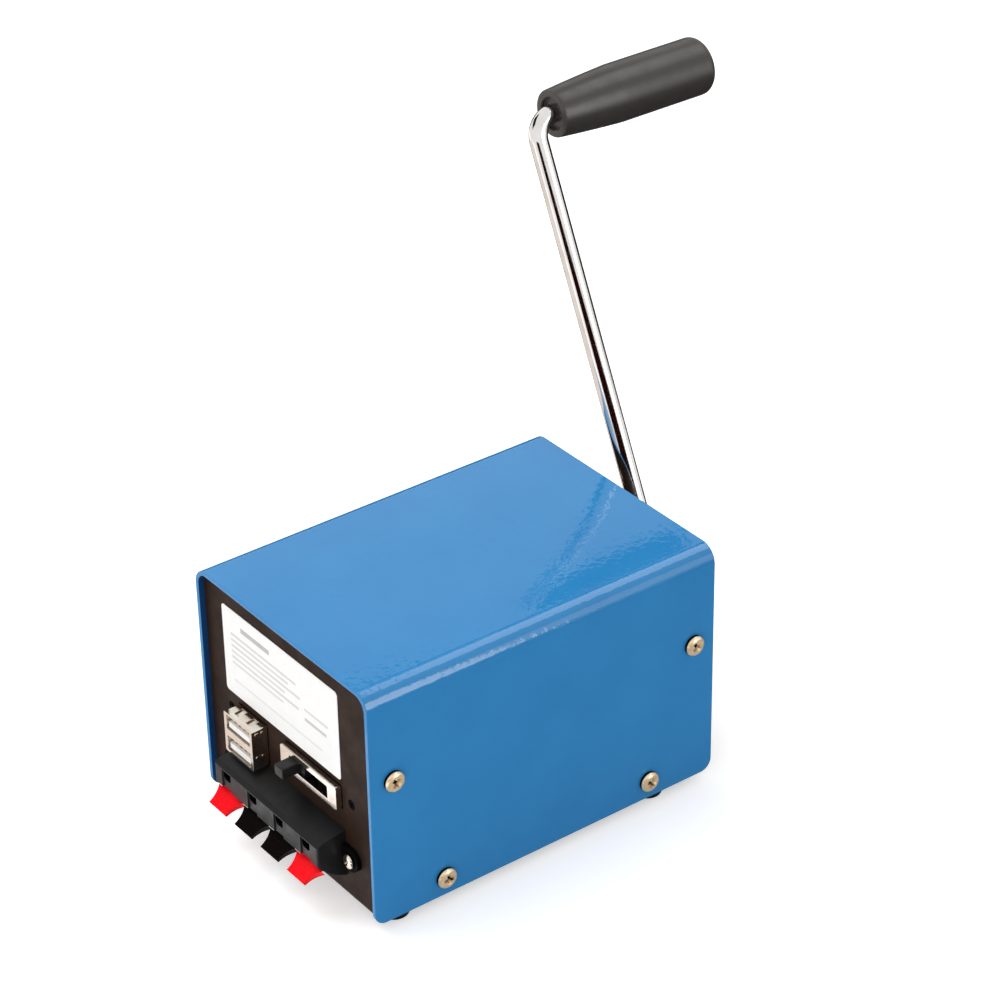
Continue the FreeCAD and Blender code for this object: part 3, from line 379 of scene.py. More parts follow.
def patternOn(tree, place, look):
    inputs = {"Vector": place, "Scale": look["bands"]}
    if look["pattern"] == "tracks":
        pattern = node(tree, "TexVoronoi", inputs, feature="DISTANCE_TO_EDGE")
        return ramp(tree, pattern.outputs["Distance"], 1, 0, 0.03, 0.06)
    inputs["Distortion"] = 0.4
    way = "Y" if look["pattern"] == "sheets" else "DIAGONAL"
    return node(tree, "TexWave", inputs, bands_direction=way).outputs["Fac"]


def makeFinish(name, look):
    tree, shader, place = startFinish(name)
    stretch = look.get("stretch", (1, 1, 1))
    cloud = noiseOn(tree, place, look["grain"], stretch)
    share = patternOn(tree, place, look) if "pattern" in look else ramp(tree, cloud, 0, 1)
    fine = noiseOn(tree, place, look["bumpGrain"], stretch, 2)
    crown = None
    for axis, start, end, drop in look.get("crowns", ()):
        crown = addCrown(tree, place, axis, start, end, drop, crown)
    feed(tree, shader, {"Base Color": mixColours(tree, share, tint(*look["colour"]), tint(*look["shade"])),
                        "Metallic": look.get("metal", 0),
                        "Roughness": ramp(tree, cloud, *look["rough"]),
                        "Specular IOR Level": look.get("gloss", 0.5),
                        "Normal": bumpFrom(tree, fine, look["bump"], below=crown)})


for finishName, look in looks.items():
    makeFinish(finishName, look)
print("finishes made:", len(finishes))


# cover: one folded sheet, open at the front, the back and below

cover = {"width": 88, "depth": 126, "low": 3.5, "high": 83.5, "sheet": 1.5, "fold": 5.7, "flap": 4.0,
         "edge": 0.28}


def makeCover():
    side, end = cover["width"] / 2, cover["depth"] / 2
    piece = addBlock((-side, -end, cover["low"]), (side, end, cover["high"]))
    startEdit(piece)
    choose("FACE", lambda at, out: out.z < -0.5 or abs(out.y) > 0.5)
    bpy.ops.mesh.delete(type="ONLY_FACE")
    choose("EDGE", lambda at, along: abs(along.x) > 0.9 and at.z < cover["low"] + 1)
    bpy.ops.mesh.delete(type="EDGE")
    choose("VERT", lambda at, out: at.z < cover["low"] + 1)
    bpy.ops.mesh.bevel(offset=cover["flap"] * mm, segments=8, affect="VERTICES")
    choose("EDGE", lambda at, along: at.z > cover["high"] - 1 and abs(along.y) > 0.9)
    bpy.ops.mesh.bevel(offset=cover["fold"] * mm, segments=12, affect="EDGES")
    endEdit()
    pick(piece)
    wall = piece.modifiers.new("wall", "SOLIDIFY")
    wall.thickness = cover["sheet"] * mm
    wall.offset = -1
    wall.use_even_offset = True
    bpy.ops.object.modifier_apply(modifier="wall")
    softenEdges(piece, cover["edge"], 3, 50)
    centre = (cover["low"] + cover["high"]) / 2
    # the inward-looking faces get the darker blue of painted shade
    twoFinishes(piece, "bluePaint", "paintedShadeBlue", lambda at, out: abs(out.y) < 0.4
                and out.x * at.x + out.z * (at.z - centre) < -5)      # faces that look inwards
    dress(piece, "coverSheet", "case", None, ("cover",), 32)


makeCover()
print("cover made")


# screws: a turned pan head with a tapered cross cut into it

def makeScrew(size, finish):
    head, height, shank, length = size["head"], size["height"], size["shank"], size["length"]
    cross, depth = size["cross"], size["depth"]
    points = [(0, -length), (shank * 0.8, -length), (shank, -length + 0.5), (shank, 0), (head * 0.97, 0),
              (head, height * 0.1), (head, height * 0.45), (head * 0.95, height * 0.66),
              (head * 0.82, height * 0.83), (head * 0.55, height * 0.95), (0, height)]
    piece = turnOutline(points, 40)
    cutters = []
    armWidth, armTaper = 0.32, (0.45, 0.6, 1)
    for turn in (0, 90):
        arm = addBlock((-cross, -cross * armWidth, height - depth), (cross, cross * armWidth, height + 1))
        startEdit(arm)
        choose("FACE", lambda at, out: out.z < -0.5)
        bpy.ops.transform.resize(value=armTaper, center_override=(0, 0, (height - depth) * mm))
        endEdit()
        arm.rotation_euler = (0, 0, math.radians(turn))
        cutters.append(settle(arm))
    carve(piece, cutters)

    # painted shade: these faces get the near-black that stands in for the shadow under the rim and in the
    # cross
    def shaded(at, out):      # under the head's rim and down in the cross
        return at.z < height * 0.45 or (math.hypot(at.x, at.y) < cross * 1.1 and at.z < height * 0.8)

    return twoFinishes(piece, finish, "paintedShadeBlack", shaded)


def placeScrews(screw, places, name, body, stands):      # place, direction, turn of the cross
    copies = []
    for at, towards, spin in places:
        copies.append(putAt(copyOf(screw), at, towards, spin))
    bpy.data.objects.remove(screw)
    dress(join(copies), name, body, None, stands, 30)


coverScrews = {"head": 3.3, "height": 2.1, "shank": 1.5, "length": 7.0, "cross": 2.3, "depth": 1.4,
               "places": ((-55, 52.5, 20), (-38, 10, 70), (38, 10, 35), (55, 52.5, 10))}      # y, z, turn


def makeCoverScrews():
    screw = makeScrew(coverScrews, "warmNickel")
    places = []
    for y, z, spin in coverScrews["places"]:
        for side in (-1, 1):
            places.append(((side * cover["width"] / 2, y, z), (side, 0, 0), spin + 25 * side))
    placeScrews(screw, places, "coverScrews", "case", ("cover_screws",))


makeCoverScrews()
print("cover screws made")


# feet: moulded rubber, tapered, with a sunk middle

feet = {"radius": 5.0, "height": 3.5, "x": 37.4, "front": -52.0, "back": 43.0, "hole": 2.1, "sunk": 0.9}


def makeFeet():
    radius, height = feet["radius"], feet["height"]
    hole, sunk = feet["hole"], feet["sunk"]
    points = [(0, sunk), (hole - 0.2, sunk), (hole, sunk - 0.2), (hole, 0.0), (radius - 1.1, 0),
              (radius - 0.6, 0.25), (radius - 0.35, 0.7), (radius, height), (0, height)]
    first = turnOutline(points, 48)
    for end in ("front", "back"):
        for side, way in (("left", -1), ("right", 1)):
            name = end + "_" + side
            foot = putAt(copyOf(first), (way * feet["x"], feet[end], 0))
            dress(foot, "rubberFoot_" + name, "case", "rubber", ("foot_" + name,), 30)
    bpy.data.objects.remove(first)


makeFeet()
print("feet made")


# label: a thin film with rounded corners and plain grey bars

label = {"x": -3.2, "z": 60.2, "width": 59.6, "height": 30.4, "front": -61.25, "back": -61.0,
         "corner": 1.2, "edge": 0.06,
         "bars": ((-12.5, 10.3, 15, 1.7, 0.50), (-8.5, 6.6, 34, 0.9, 0.30), (-10.5, 4.6, 30, 0.9, 0.28),
                  (-7.5, 2.6, 36, 0.9, 0.30), (-11.5, 0.6, 28, 0.9, 0.26), (-8.0, -1.4, 35, 0.9, 0.30),
                  (-12.0, -3.4, 27, 0.9, 0.26), (18.5, 0.2, 12, 0.9, 0.28), (18.0, -3.2, 11, 1.1, 0.42),
                  (-2.0, -9.6, 46, 0.8, 0.16))}      # x, z, length, height, darkness


def makeLabelFinish():
    tree, shader, place = startFinish("labelFilm")
    axes = axesOf(tree, place)

    def within(axis, middle, size):
        aside = maths(tree, "ABSOLUTE", maths(tree, "SUBTRACT", axes[axis], middle * mm))
        return maths(tree, "LESS_THAN", aside, size / 2 * mm)

    total = 0
    for x, z, length, height, dark in label["bars"]:
        inside = maths(tree, "MULTIPLY", within("X", label["x"] + x, length),
                       within("Z", label["z"] + z, height))
        total = maths(tree, "MAXIMUM", maths(tree, "MULTIPLY", inside, dark), total)
    cloud = noiseOn(tree, place, 260)
    paper = mixColours(tree, ramp(tree, cloud, 0, 1), tint(252, 252, 251), tint(248, 248, 247))
    colour = mixColours(tree, total, paper, tint(70, 72, 76))
    feed(tree, shader, {"Base Color": colour, "Roughness": ramp(tree, cloud, 0.35, 0.5),
                        "Normal": bumpFrom(tree, noiseOn(tree, place, 1400), 0.04)})


def makeLabel():
    halfWide, halfHigh = label["width"] / 2, label["height"] / 2
    piece = addBlock((label["x"] - halfWide, label["front"], label["z"] - halfHigh),
                     (label["x"] + halfWide, label["back"], label["z"] + halfHigh))
    roundEdges(piece, label["corner"], 6, frontToBack)
    softenEdges(piece, label["edge"], 1, 60)
    dress(piece, "panelLabel", "case", "labelFilm", ("front_label",))


makeLabelFinish()
makeLabel()
print("label made")


# stacked socket: folded shell with two mouths, sprung windows and side dimples

socket = {"x": -19.45, "z": 35.4, "width": 14.9, "height": 14.2, "front": -66.7, "back": -50.5,
          "mouthWidth": 12.5, "mouthHeight": 5.12, "mouthCorner": 0.45, "gap": 2.4, "depth": 9.0,
          "wall": 0.4, "corner": 0.55, "edge": 0.14,
          "windowsX": (-3.1, 3.1), "windowHalf": 1.3, "windowFrom": 1.6, "windowTo": 4.8, "tabHalf": 0.75,
          "dimplesY": (1.9, 4.0), "dimpleHalf": (0.75, 0.32), "dimpleProud": 0.22}


def makeSocket():
    x, z, front, wall = socket["x"], socket["z"], socket["front"], socket["wall"]
    left, right = x - socket["width"] / 2, x + socket["width"] / 2
    low, high = z - socket["height"] / 2, z + socket["height"] / 2
    shell = addBlock((left, front, low), (right, socket["back"], high))
    roundEdges(shell, socket["corner"], 4, frontToBack)
    offset = (socket["gap"] + socket["mouthHeight"]) / 2
    cutters = [addBlock((left + wall, front + socket["depth"] - 0.5, low + wall),
                        (right - wall, socket["back"] + 1, high - wall))]
    for side in (-1, 1):
        middle = z + side * offset
        wide, tall = socket["mouthWidth"] / 2, socket["mouthHeight"] / 2
        mouth = addBlock((x - wide, front - 1, middle - tall),
                         (x + wide, front + socket["depth"], middle + tall))
        cutters.append(roundEdges(mouth, socket["mouthCorner"], 3, frontToBack))
    for dx in socket["windowsX"]:
        cutters.append(addBlock((x + dx - socket["windowHalf"], front + socket["windowFrom"], high - 1.0),
                                (x + dx + socket["windowHalf"], front + socket["windowTo"], high + 1)))
    carve(shell, cutters)
    softenEdges(shell, socket["edge"], 2, 50)
    extras = []
    for dx in socket["windowsX"]:      # spring tongues in the windows, their front ends bent down
        tab = addBlock((x + dx - socket["tabHalf"], front + socket["windowFrom"] + 0.3, high - 0.62),
                       (x + dx + socket["tabHalf"], front + socket["windowTo"] + 0.1, high - 0.32))
        startEdit(tab)
        choose("FACE", lambda at, out: out.y < -0.5)
        bpy.ops.transform.translate(value=(0, 0, -0.5 * mm))
        endEdit()
        extras.append(tab)
    long, tall = socket["dimpleHalf"]
    for dz in (-offset + 1.3, offset + 2.0):      # dimples pressed out of the right side
        for dy in socket["dimplesY"]:
            dimple = addBlock((right - 0.2, front + dy - long, z + dz - tall),
                              (right + socket["dimpleProud"], front + dy + long, z + dz + tall))
            extras.append(softenEdges(dimple, 0.15, 2, 50))
    dress(join([shell] + extras), "socketShell", "case", "nickel", ("usb_shell",), 35)


makeSocket()
print("socket made")


# slide switch: drawn frame with a slot, and the lever on its carriage at the left end

switch = {"x": 12.1, "z": 39.0, "width": 28.6, "height": 7.8, "front": -63.1, "back": -50.5, "wall": 0.5,
          "corner": 0.7, "edge": 0.2, "slotLength": 19.6, "slotHeight": 4.3, "slotCorner": 0.4,
          "knobWidth": 4.5, "knobHeight": 3.9, "knobFront": -68.6, "knobCorner": 0.4,
          "shift": -7.25, "carriageHalf": (4.2, 3.1), "carriageFrom": 0.8, "carriageTo": 4.4}


def makeSwitch():
    x, z, front = switch["x"], switch["z"], switch["front"]
    left, right = x - switch["width"] / 2, x + switch["width"] / 2
    low, high = z - switch["height"] / 2, z + switch["height"] / 2
    wall = switch["wall"]
    piece = addBlock((left, front, low), (right, switch["back"], high))
    roundEdges(piece, switch["corner"], 4, frontToBack)
    slot = addBlock((x - switch["slotLength"] / 2, front - 1, z - switch["slotHeight"] / 2),
                    (x + switch["slotLength"] / 2, front + 2, z + switch["slotHeight"] / 2))
    roundEdges(slot, switch["slotCorner"], 3, frontToBack)
    room = addBlock((left + wall, front + wall, low + wall),
                    (right - wall, switch["back"] + 1, high - wall))
    carve(piece, [room, slot])
    softenEdges(piece, switch["edge"], 3, 50)
    dress(piece, "switchFrame", "case", "nickel", ("switch_frame",), 35)


def makeKnob():
    x, z = switch["x"] + switch["shift"], switch["z"]
    half, high, front = switch["knobWidth"] / 2, switch["knobHeight"] / 2, switch["knobFront"]
    stem = addBlock((x - half, front, z - high), (x + half, switch["front"] + 1.2, z + high))
    startEdit(stem)
    choose("FACE", lambda at, out: out.y < -0.5)
    bpy.ops.transform.resize(value=(0.93, 1, 0.93), center_override=(x * mm, front * mm, z * mm))
    endEdit()
    roundEdges(stem, switch["knobCorner"], 3, lambda at, along: True)
    wide, tall = switch["carriageHalf"]
    carriage = addBlock((x - wide, switch["front"] + switch["carriageFrom"], z - tall),
                        (x + wide, switch["front"] + switch["carriageTo"], z + tall))
    softenEdges(carriage, switch["edge"], 2)
    carve(stem, [carriage], "UNION")
    dress(stem, "switchLever", "switch_knob", "blackMoulding", ("switch_knob",), 35)


makeSwitch()
makeKnob()
print("switch made")


# countersunk screws in the panel, their heads flush
panelScrews = {"x": 31.2, "z": 39.1, "seat": -60.85, "shank": 1.25, "head": 1.62, "length": 5.0,
               "crossHalf": 1.0, "armHalf": 0.25}


def makePanelScrews():
    shank, head, length = panelScrews["shank"], panelScrews["head"], panelScrews["length"]
    long, thin = panelScrews["crossHalf"], panelScrews["armHalf"]
    screw = turnOutline([(0, -length), (shank, -length), (shank, -0.6), (head, -0.12), (head - 0.07, 0.0),
                         (0, 0.12)], 32)
    arm = addBlock((-long, -thin, -0.5), (long, thin, 1))
    carve(screw, [arm, putAt(copyOf(arm), (0, 0, 0), spin=90)])
    # the screws are black, and their heads get the painted-shade near-black, as dark as the shade in their
    # holes
    screw.data.materials.append(finishes["paintedShadeBlack"])
    at = [((side * panelScrews["x"], panelScrews["seat"], panelScrews["z"]), (0, -1, 0), 30 + 40 * side)
          for side in (-1, 1)]
    placeScrews(screw, at, "panelScrews", "case", ("panel_screws",))


makePanelScrews()
print("panel screws made")


# spring terminal: block, four levers and the ear screws

block = {"half": 27.2, "front": -71.0, "back": -61.0, "low": 11.5, "high": 28.0, "stripLow": 18.7,
         "stripHigh": 26.2, "belly": (-66.7, 14.5), "topRound": 4.5, "endRound": 2.3, "pitch": 13.9,
         "earX": 31.2, "earZ": 19.8, "earRadius": 3.8, "earThick": 1.5, "earHole": 1.55, "pocketHalf": 5.0,
         "recessHalf": 2.7, "recessDeep": 0.5, "recessHigh": 25.0, "recessTaper": 0.86,
         "entryHalf": 2.1, "entryLow": 21.5, "entryHigh": 24.8, "entryRound": 1.5,
         "tailHalf": 24, "tailLow": 15, "tailHigh": 26, "tailLong": 4.5, "edge": 0.18}
hinge = {"y": -66.2, "z": 18.0, "radius": 1.7, "pin": 0.85, "slope": 32.6, "room": 0.3}
swing = hinge["radius"] + hinge["room"]
pocketBack, pocketTop = hinge["y"] + swing, hinge["z"] + swing


def arcThrough(first, middle, last, steps):      # points of the circle's arc through three of them
    ax, ay = first
    bx, by = middle
    cx, cy = last
    d = 2 * (ax * (by - cy) + bx * (cy - ay) + cx * (ay - by))
    a, b, c = ax ** 2 + ay ** 2, bx ** 2 + by ** 2, cx ** 2 + cy ** 2
    ux = (a * (by - cy) + b * (cy - ay) + c * (ay - by)) / d
    uy = (a * (cx - bx) + b * (ax - cx) + c * (bx - ax)) / d
    radius = math.hypot(ax - ux, ay - uy)
    start, end = math.atan2(ay - uy, ax - ux), math.atan2(cy - uy, cx - ux)
    turn = (end - start + math.pi) % (2 * math.pi) - math.pi
    angles = [start + turn * i / steps for i in range(steps + 1)]
    return [(ux + radius * math.cos(angle), uy + radius * math.sin(angle)) for angle in angles]


def leverX(index):
    return (index - 1.5) * block["pitch"]


def leverCutters(x):      # the room under and round the hinge, the recess above it, and the wire's entry
    front, pocketHalf = block["front"], block["pocketHalf"]
    recessHalf, entryHalf = block["recessHalf"], block["entryHalf"]
    below = addBlock((x - pocketHalf, front - 1, block["low"] - 1),
                     (x + pocketHalf, pocketBack, block["stripLow"]))
    room = addBlock((x - pocketHalf, hinge["y"] - swing, block["stripLow"] - 1),
                    (x + pocketHalf, pocketBack, pocketTop))
    recess = addBlock((x - recessHalf, front - 1, block["stripLow"] - 1),
                      (x + recessHalf, front + block["recessDeep"], block["recessHigh"]))
    startEdit(recess)
    choose("FACE", lambda at, out: out.y > 0.5)
    bpy.ops.transform.resize(value=(block["recessTaper"], 1, 1), center_override=(x * mm, 0, 0))
    endEdit()
    entry = addBlock((x - entryHalf, front - 1, block["entryLow"]),
                     (x + entryHalf, block["back"] + 2.5, block["entryHigh"]))
    roundEdges(entry, block["entryRound"], 6, frontToBack)
    return [below, room, recess, entry]


def addEar(side):
    x, z, radius = side * block["earX"], block["earZ"], block["earRadius"]
    back, thick = block["back"], block["earThick"]
    ear = addRound((x, back, z), (0, -1, 0), radius, thick, 48)
    near, far = sorted((x, side * (block["half"] - 1)))
    carve(ear, [addBlock((near, back - thick, z - radius), (far, back, z + radius))], "UNION")
    return carve(ear, [addRound((x, back + 1, z), (0, -1, 0), block["earHole"], 5, 32)])


def makeBlock():
    half, front, back = block["half"], block["front"], block["back"]
    belly = arcThrough((back, block["low"]), block["belly"], (front, block["stripLow"]), 10)
    outline = belly + [(front, block["stripHigh"] - 0.9), (front + 1.5, block["stripHigh"]),
                       (back, block["high"])]
    piece = outlinePlate([(-half, y, z) for y, z in outline], (2 * half, 0, 0))
    roundEdges(piece, block["endRound"], 5, lambda at, along: abs(along.z) > 0.9 and at.y < front + 0.1)
    shoulder = block["stripHigh"] - 0.2
    roundEdges(piece, block["topRound"], 8, lambda at, along: abs(along.x) < 0.4 and at.z > shoulder
               and abs(at.x) > half - 1 and at.y > front + 1.0)
    carve(piece, [cutter for i in range(4) for cutter in leverCutters(leverX(i))])
    tail = addBlock((-block["tailHalf"], back - 0.5, block["tailLow"]),      # it goes through the panel
                    (block["tailHalf"], back + block["tailLong"], block["tailHigh"]))
    carve(piece, [tail, addEar(-1), addEar(1)], "UNION")
    softenEdges(piece, block["edge"], 2, 40)

    # painted shade: the ears and the walls of the entries and pockets get near-black for the shade that
    # falls there
    def inside(at, out):      # ears, and the walls of the entries and pockets
        aside = min(abs(at.x - leverX(i)) for i in range(4))
        entry = (aside < block["entryHalf"] + 0.05
                 and block["entryLow"] - 0.1 < at.z < block["entryHigh"] + 0.1)
        pocket = aside < block["pocketHalf"] + 0.1 and at.z < pocketTop + 0.1
        ear = abs(at.x) > half + 0.2
        return ear or (front + 0.7 < at.y < back and abs(at.x) < half - 1 and (entry or pocket))

    twoFinishes(piece, "blackMoulding", "paintedShadeBlack", inside)
    dress(piece, "terminalBlock", "case", None, ("terminal_body",), 38)


lever = {"root": 3.7, "reach": 9.8, "rootHalf": 6.4, "waistHalf": 5.1, "tipHalf": 4.35, "barrelHalf": 4.7,
         "top": 1.0, "tipThick": 1.0, "edge": 0.16, "colours": ("red", "black", "black", "red")}


def makeLevers():
    root, reach, top = lever["root"], lever["reach"], lever["top"]
    side = arcThrough((lever["rootHalf"], -root), (lever["waistHalf"], -root - 2),
                      (lever["tipHalf"], -reach), 8)
    outline = [(lever["barrelHalf"], 0), (lever["barrelHalf"], -root)] + side
    outline += [(-x, y) for x, y in reversed(outline)]
    first = outlinePlate([(x, y, -top) for x, y in outline], (0, 0, 2 * top))
    aside = 8      # past the lever's sides
    below = outlinePlate([(-aside, -root, -top), (-aside, -reach - 1, top - lever["tipThick"] + 0.15),
                          (-aside, -reach - 1, -top - 2), (-aside, -root, -top - 2)], (2 * aside, 0, 0))
    carve(first, [below])
    barrel = addRound((-lever["barrelHalf"], 0, 0), (1, 0, 0), hinge["radius"], 2 * lever["barrelHalf"], 40)
    carve(first, [barrel], "UNION")
    carve(first, [addRound((-aside, 0, 0), (1, 0, 0), hinge["pin"], 2 * aside, 32)])
    softenEdges(first, lever["edge"], 3, 40)
    for i, colour in enumerate(lever["colours"]):
        piece = copyOf(first)
        piece.rotation_euler = (math.radians(hinge["slope"]), 0, 0)
        piece.location = Vector((leverX(i), hinge["y"], hinge["z"])) * mm
        settle(piece)
        number = str(i + 1)
        dress(piece, "terminalLever_" + number, "lever_" + number, colour + "Lever",
              ("terminal_lever_" + number,), 38)
    bpy.data.objects.remove(first)


earScrews = {"head": 2.4, "height": 1.5, "shank": 1.5, "length": 8.0, "cross": 1.5, "depth": 0.9}


def makeEarScrews():
    screw = makeScrew(earScrews, "nickel")
    seat = block["back"] - block["earThick"]
    places = [((side * block["earX"], seat, block["earZ"]), (0, -1, 0), 30 * side) for side in (-1, 1)]
    placeScrews(screw, places, "earScrews", "case", ("terminal_screws",))


makeBlock()
makeLevers()
makeEarScrews()
print("terminal made")


# crank: one bent rod, drawn as a circle that is extruded and spun round each bend

crank = {"radius": 3.0, "bend": 7.0, "arm": 147.2, "lean": 24.5, "start": 38.8, "y": 77.0, "z": 45.8,
         "spindle": 49.7, "chamfer": 0.25}
leanAngle = math.radians(crank["lean"])
armUp = Vector((-math.sin(leanAngle), 0, math.cos(leanAngle)))
armAside = Vector((math.cos(leanAngle), 0, math.sin(leanAngle)))
armEnd = Vector((0, 0, crank["z"])) + armUp * crank["arm"]


def makeRod():
    bend, chamfer = crank["bend"], crank["chamfer"]
    clearSelection()
    bpy.ops.mesh.primitive_circle_add(vertices=48, fill_type="NGON",
                                      radius=(crank["radius"] - chamfer) * mm,
                                      location=(0, crank["start"] * mm, crank["z"] * mm),
                                      rotation=(math.pi / 2, 0, 0))
    piece = settle(bpy.context.object)
    startEdit(piece)
    bpy.ops.mesh.select_all(action="SELECT")

    def push(way, length, swell=0.0):
        bpy.ops.mesh.extrude_region_move(TRANSFORM_OT_translate={"value": way * length * mm})
        if swell:
            form = bmesh.from_edit_mesh(piece.data)
            ring = {v for f in form.faces if f.select for v in f.verts}
            middle = sum((v.co for v in ring), Vector()) / len(ring)
            for vertex in ring:
                vertex.co = middle + (vertex.co - middle) * swell
            bmesh.update_edit_mesh(piece.data)

    def turnRound(centre, axis):
        bpy.ops.mesh.spin(steps=14, angle=-math.pi / 2, center=centre * mm, axis=axis)

    wide = crank["radius"] / (crank["radius"] - chamfer)
    corner = Vector((0, crank["y"], crank["z"]))
    along = Vector((0, 1, 0))
    push(along, chamfer, wide)
    push(along, crank["y"] - bend - crank["start"] - chamfer)
    turnRound(corner - along * bend + armUp * bend, armAside)
    push(armUp, crank["arm"] - 2 * bend)
    turnRound(corner + armUp * (crank["arm"] - bend) + along * bend, -armAside)
    push(along, crank["spindle"] - chamfer)
    push(along, chamfer, 1 / wide)
    bpy.ops.mesh.select_all(action="SELECT")
    bpy.ops.mesh.remove_doubles(threshold=0.000002)
    bpy.ops.mesh.normals_make_consistent(inside=False)
    endEdit()
    dress(piece, "crankRod", "crank", "chrome", ("crank_rod",), 50)


handle = {"length": 58.7, "small": 7.6, "swell": 8.52, "swellAt": 11.5, "large": 9.35, "taper": 24,
          "endRound": 2.6, "bore": 3.05, "pocket": 5.2, "pocketDepth": 9.3, "mouth": 1.4, "edge": 0.3,
          "screwSunk": 8.0}


def makeHandle():
    length, small, large, turn = handle["length"], handle["small"], handle["large"], handle["endRound"]
    bore, pocket, mouth, edge = handle["bore"], handle["pocket"], handle["mouth"], handle["edge"]
    floor = length - handle["pocketDepth"]
    taper = arcThrough((small, 0.5), (handle["swell"], handle["swellAt"]), (large, handle["taper"]), 12)
    angles = [math.radians(degrees) for degrees in range(0, 91, 15)]
    far = [(large - turn + turn * math.cos(a), length - turn + turn * math.sin(a)) for a in angles]
    points = [(bore, mouth), (pocket - edge, mouth), (pocket, mouth - edge), (pocket, edge),
              (pocket + edge, 0), (small - 0.5, 0), (small - 0.15, 0.15)]
    points += taper + far
    points += [(pocket + edge, length), (pocket, length - edge), (pocket, floor), (bore, floor)]
    piece = turnOutline(points, 96, True)
    putAt(piece, (armEnd.x, crank["y"] + crank["bend"], armEnd.z), (0, 1, 0))
    dress(piece, "crankHandle", "handle", "handle", ("grip",), 40)


handleScrew = {"head": 3.2, "height": 2.2, "shank": 1.5, "length": 9.0, "cross": 1.9, "depth": 1.2}


def makeHandleScrew():
    screw = makeScrew(handleScrew, "zinc")
    seat = crank["y"] + crank["bend"] + handle["length"] - handle["screwSunk"]
    placeScrews(screw, [((armEnd.x, seat, armEnd.z), (0, 1, 0), 20)], "handleScrew", "crank",
                ("grip_screw",))


makeRod()
makeHandle()
makeHandleScrew()
print("crank made")


# back panel: bearing with its three screws, collar with a set screw, gearbox screws

bearing = {"face": 61.0, "flange": 13.0, "thick": 2.6, "length": 4.4, "bore": 3.05, "circle": 9.6,
           "spigot": 5.0, "inner": 57.3, "hub": 6.5, "edge": 0.3}
bearingScrews = {"head": 2.1, "height": 1.4, "shank": 1.25, "length": 6.0, "cross": 1.3, "depth": 0.8}


def makeBearing():
    bore, spigot, hub, nose = bearing["bore"], bearing["spigot"], bearing["hub"], bearing["length"]
    flange, thick, edge = bearing["flange"], bearing["thick"], bearing["edge"]
    inner = bearing["inner"] - bearing["face"]
    points = [(bore, inner), (spigot, inner), (spigot, 0), (flange - 0.2, 0), (flange, 0.2),
              (flange, thick - 0.6), (flange - 0.15, thick - 0.25), (flange - 0.6, thick),
              (hub + 0.7, thick), (hub + 0.45, thick + 0.2), (hub, nose - edge), (hub - edge, nose),
              (bore + edge, nose), (bore, nose - edge)]
    piece = turnOutline(points, 72, True)
    putAt(piece, (0, bearing["face"], crank["z"]), (0, 1, 0))
    dress(piece, "crankBearing", "case", "nickel", ("crank_bearing",), 35)
    places = []
    for i in range(3):
        angle = math.radians(120 * i)
        places.append(((bearing["circle"] * math.sin(angle), bearing["face"] + thick,
                        crank["z"] + bearing["circle"] * math.cos(angle)), (0, 1, 0), 35 * i))
    placeScrews(makeScrew(bearingScrews, "nickel"), places, "bearingScrews", "case",
                ("bearing_screws",))


collar = {"start": 65.7, "length": 3.9, "radius": 6.3, "bore": 3.02, "screwHole": 1.3}


def makeCollar():
    long, wide, bore = collar["length"], collar["radius"], collar["bore"]
    points = [(bore, 0.3), (bore + 0.28, 0), (wide - 0.4, 0), (wide, 0.4), (wide, long - 0.4),
              (wide - 0.4, long), (bore + 0.28, long), (bore, long - 0.3)]
    piece = turnOutline(points, 64, True)
    putAt(piece, (0, collar["start"], crank["z"]), (0, 1, 0))
    middle = (0, collar["start"] + long / 2, crank["z"])
    carve(piece, [addRound(middle, (0, 0, 1), collar["screwHole"], 8, 32)])
    dress(piece, "shaftCollar", "crank", "groundSteel", ("crank_collar",), 35)


pillarScrews = {"head": 2.4, "height": 1.6, "shank": 1.25, "length": 8.0, "cross": 1.5, "depth": 0.9,
                "places": ((-24.5, 15.5, 10), (-24.5, 68.0, 60), (27.5, 68.0, 25), (29.3, 46.8, 80)),
                "outer": 61.0, "inner": 38.3}      # places: x, z, turn


def makePillarScrews():
    screw = makeScrew(pillarScrews, "nickel")
    places = []
    for x, z, spin in pillarScrews["places"]:
        places.append(((x, pillarScrews["outer"], z), (0, 1, 0), spin))
        places.append(((x, pillarScrews["inner"], z), (0, -1, 0), spin + 20))
    placeScrews(screw, places, "gearboxScrews", "case", ("gearbox_screws",))


makeBearing()
makeCollar()
makePillarScrews()
print("back panel made")


# pieces that keep their own mesh get a finish

keptNodes = {
    "blackPanel": ("chassis",),
    "boardGreen": ("control_board",),
    "zinc": ("board_posts", "board_screws", "terminal_contacts", "grip_washer", "gearbox_rear_plate",
             "gearbox_front_plate", "gearbox_pillars", "can_screws"),
    "whiteMoulding": ("usb_insulator",),
    "gold": ("usb_contacts",),
    "blackComponent": ("switch_base", "rectifier", "regulator"),
    "canMetal": ("capacitors",),
    "windings": ("inductor", "armature_winding"),
    "groundSteel": ("terminal_pin", "crank_gear", "double_gear_pin", "generator_shaft"),
    "blackWire": ("terminal_wires", "generator_wire_left"),
    "redWire": ("generator_wire_right",),
    "blackScrew": ("grub_screws", "switch_contacts"),
    "bronze": ("crank_bush",),
    "machinedBrass": ("double_gear", "motor_pinion"),
    "drawnSteel": ("generator_can",),
    "magnet": ("magnets",),
    "laminations": ("armature_core",),
    "copper": ("commutator", "generator_tabs"),
    "blackMoulding": ("end_cap",),
}


def paintKeptNodes():
    for finishName, names in keptNodes.items():
        for name in names:
            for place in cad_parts[name].material_slots:
                place.material = finishes[finishName]


paintKeptNodes()
print("kept nodes painted:", sum(len(names) for names in keptNodes.values()))


# camera, light and floor

cameraView = {"place": (0.6635, -0.4729, 0.6019), "turn": (58.489, 0.907, 53.008), "lens": 117.9}


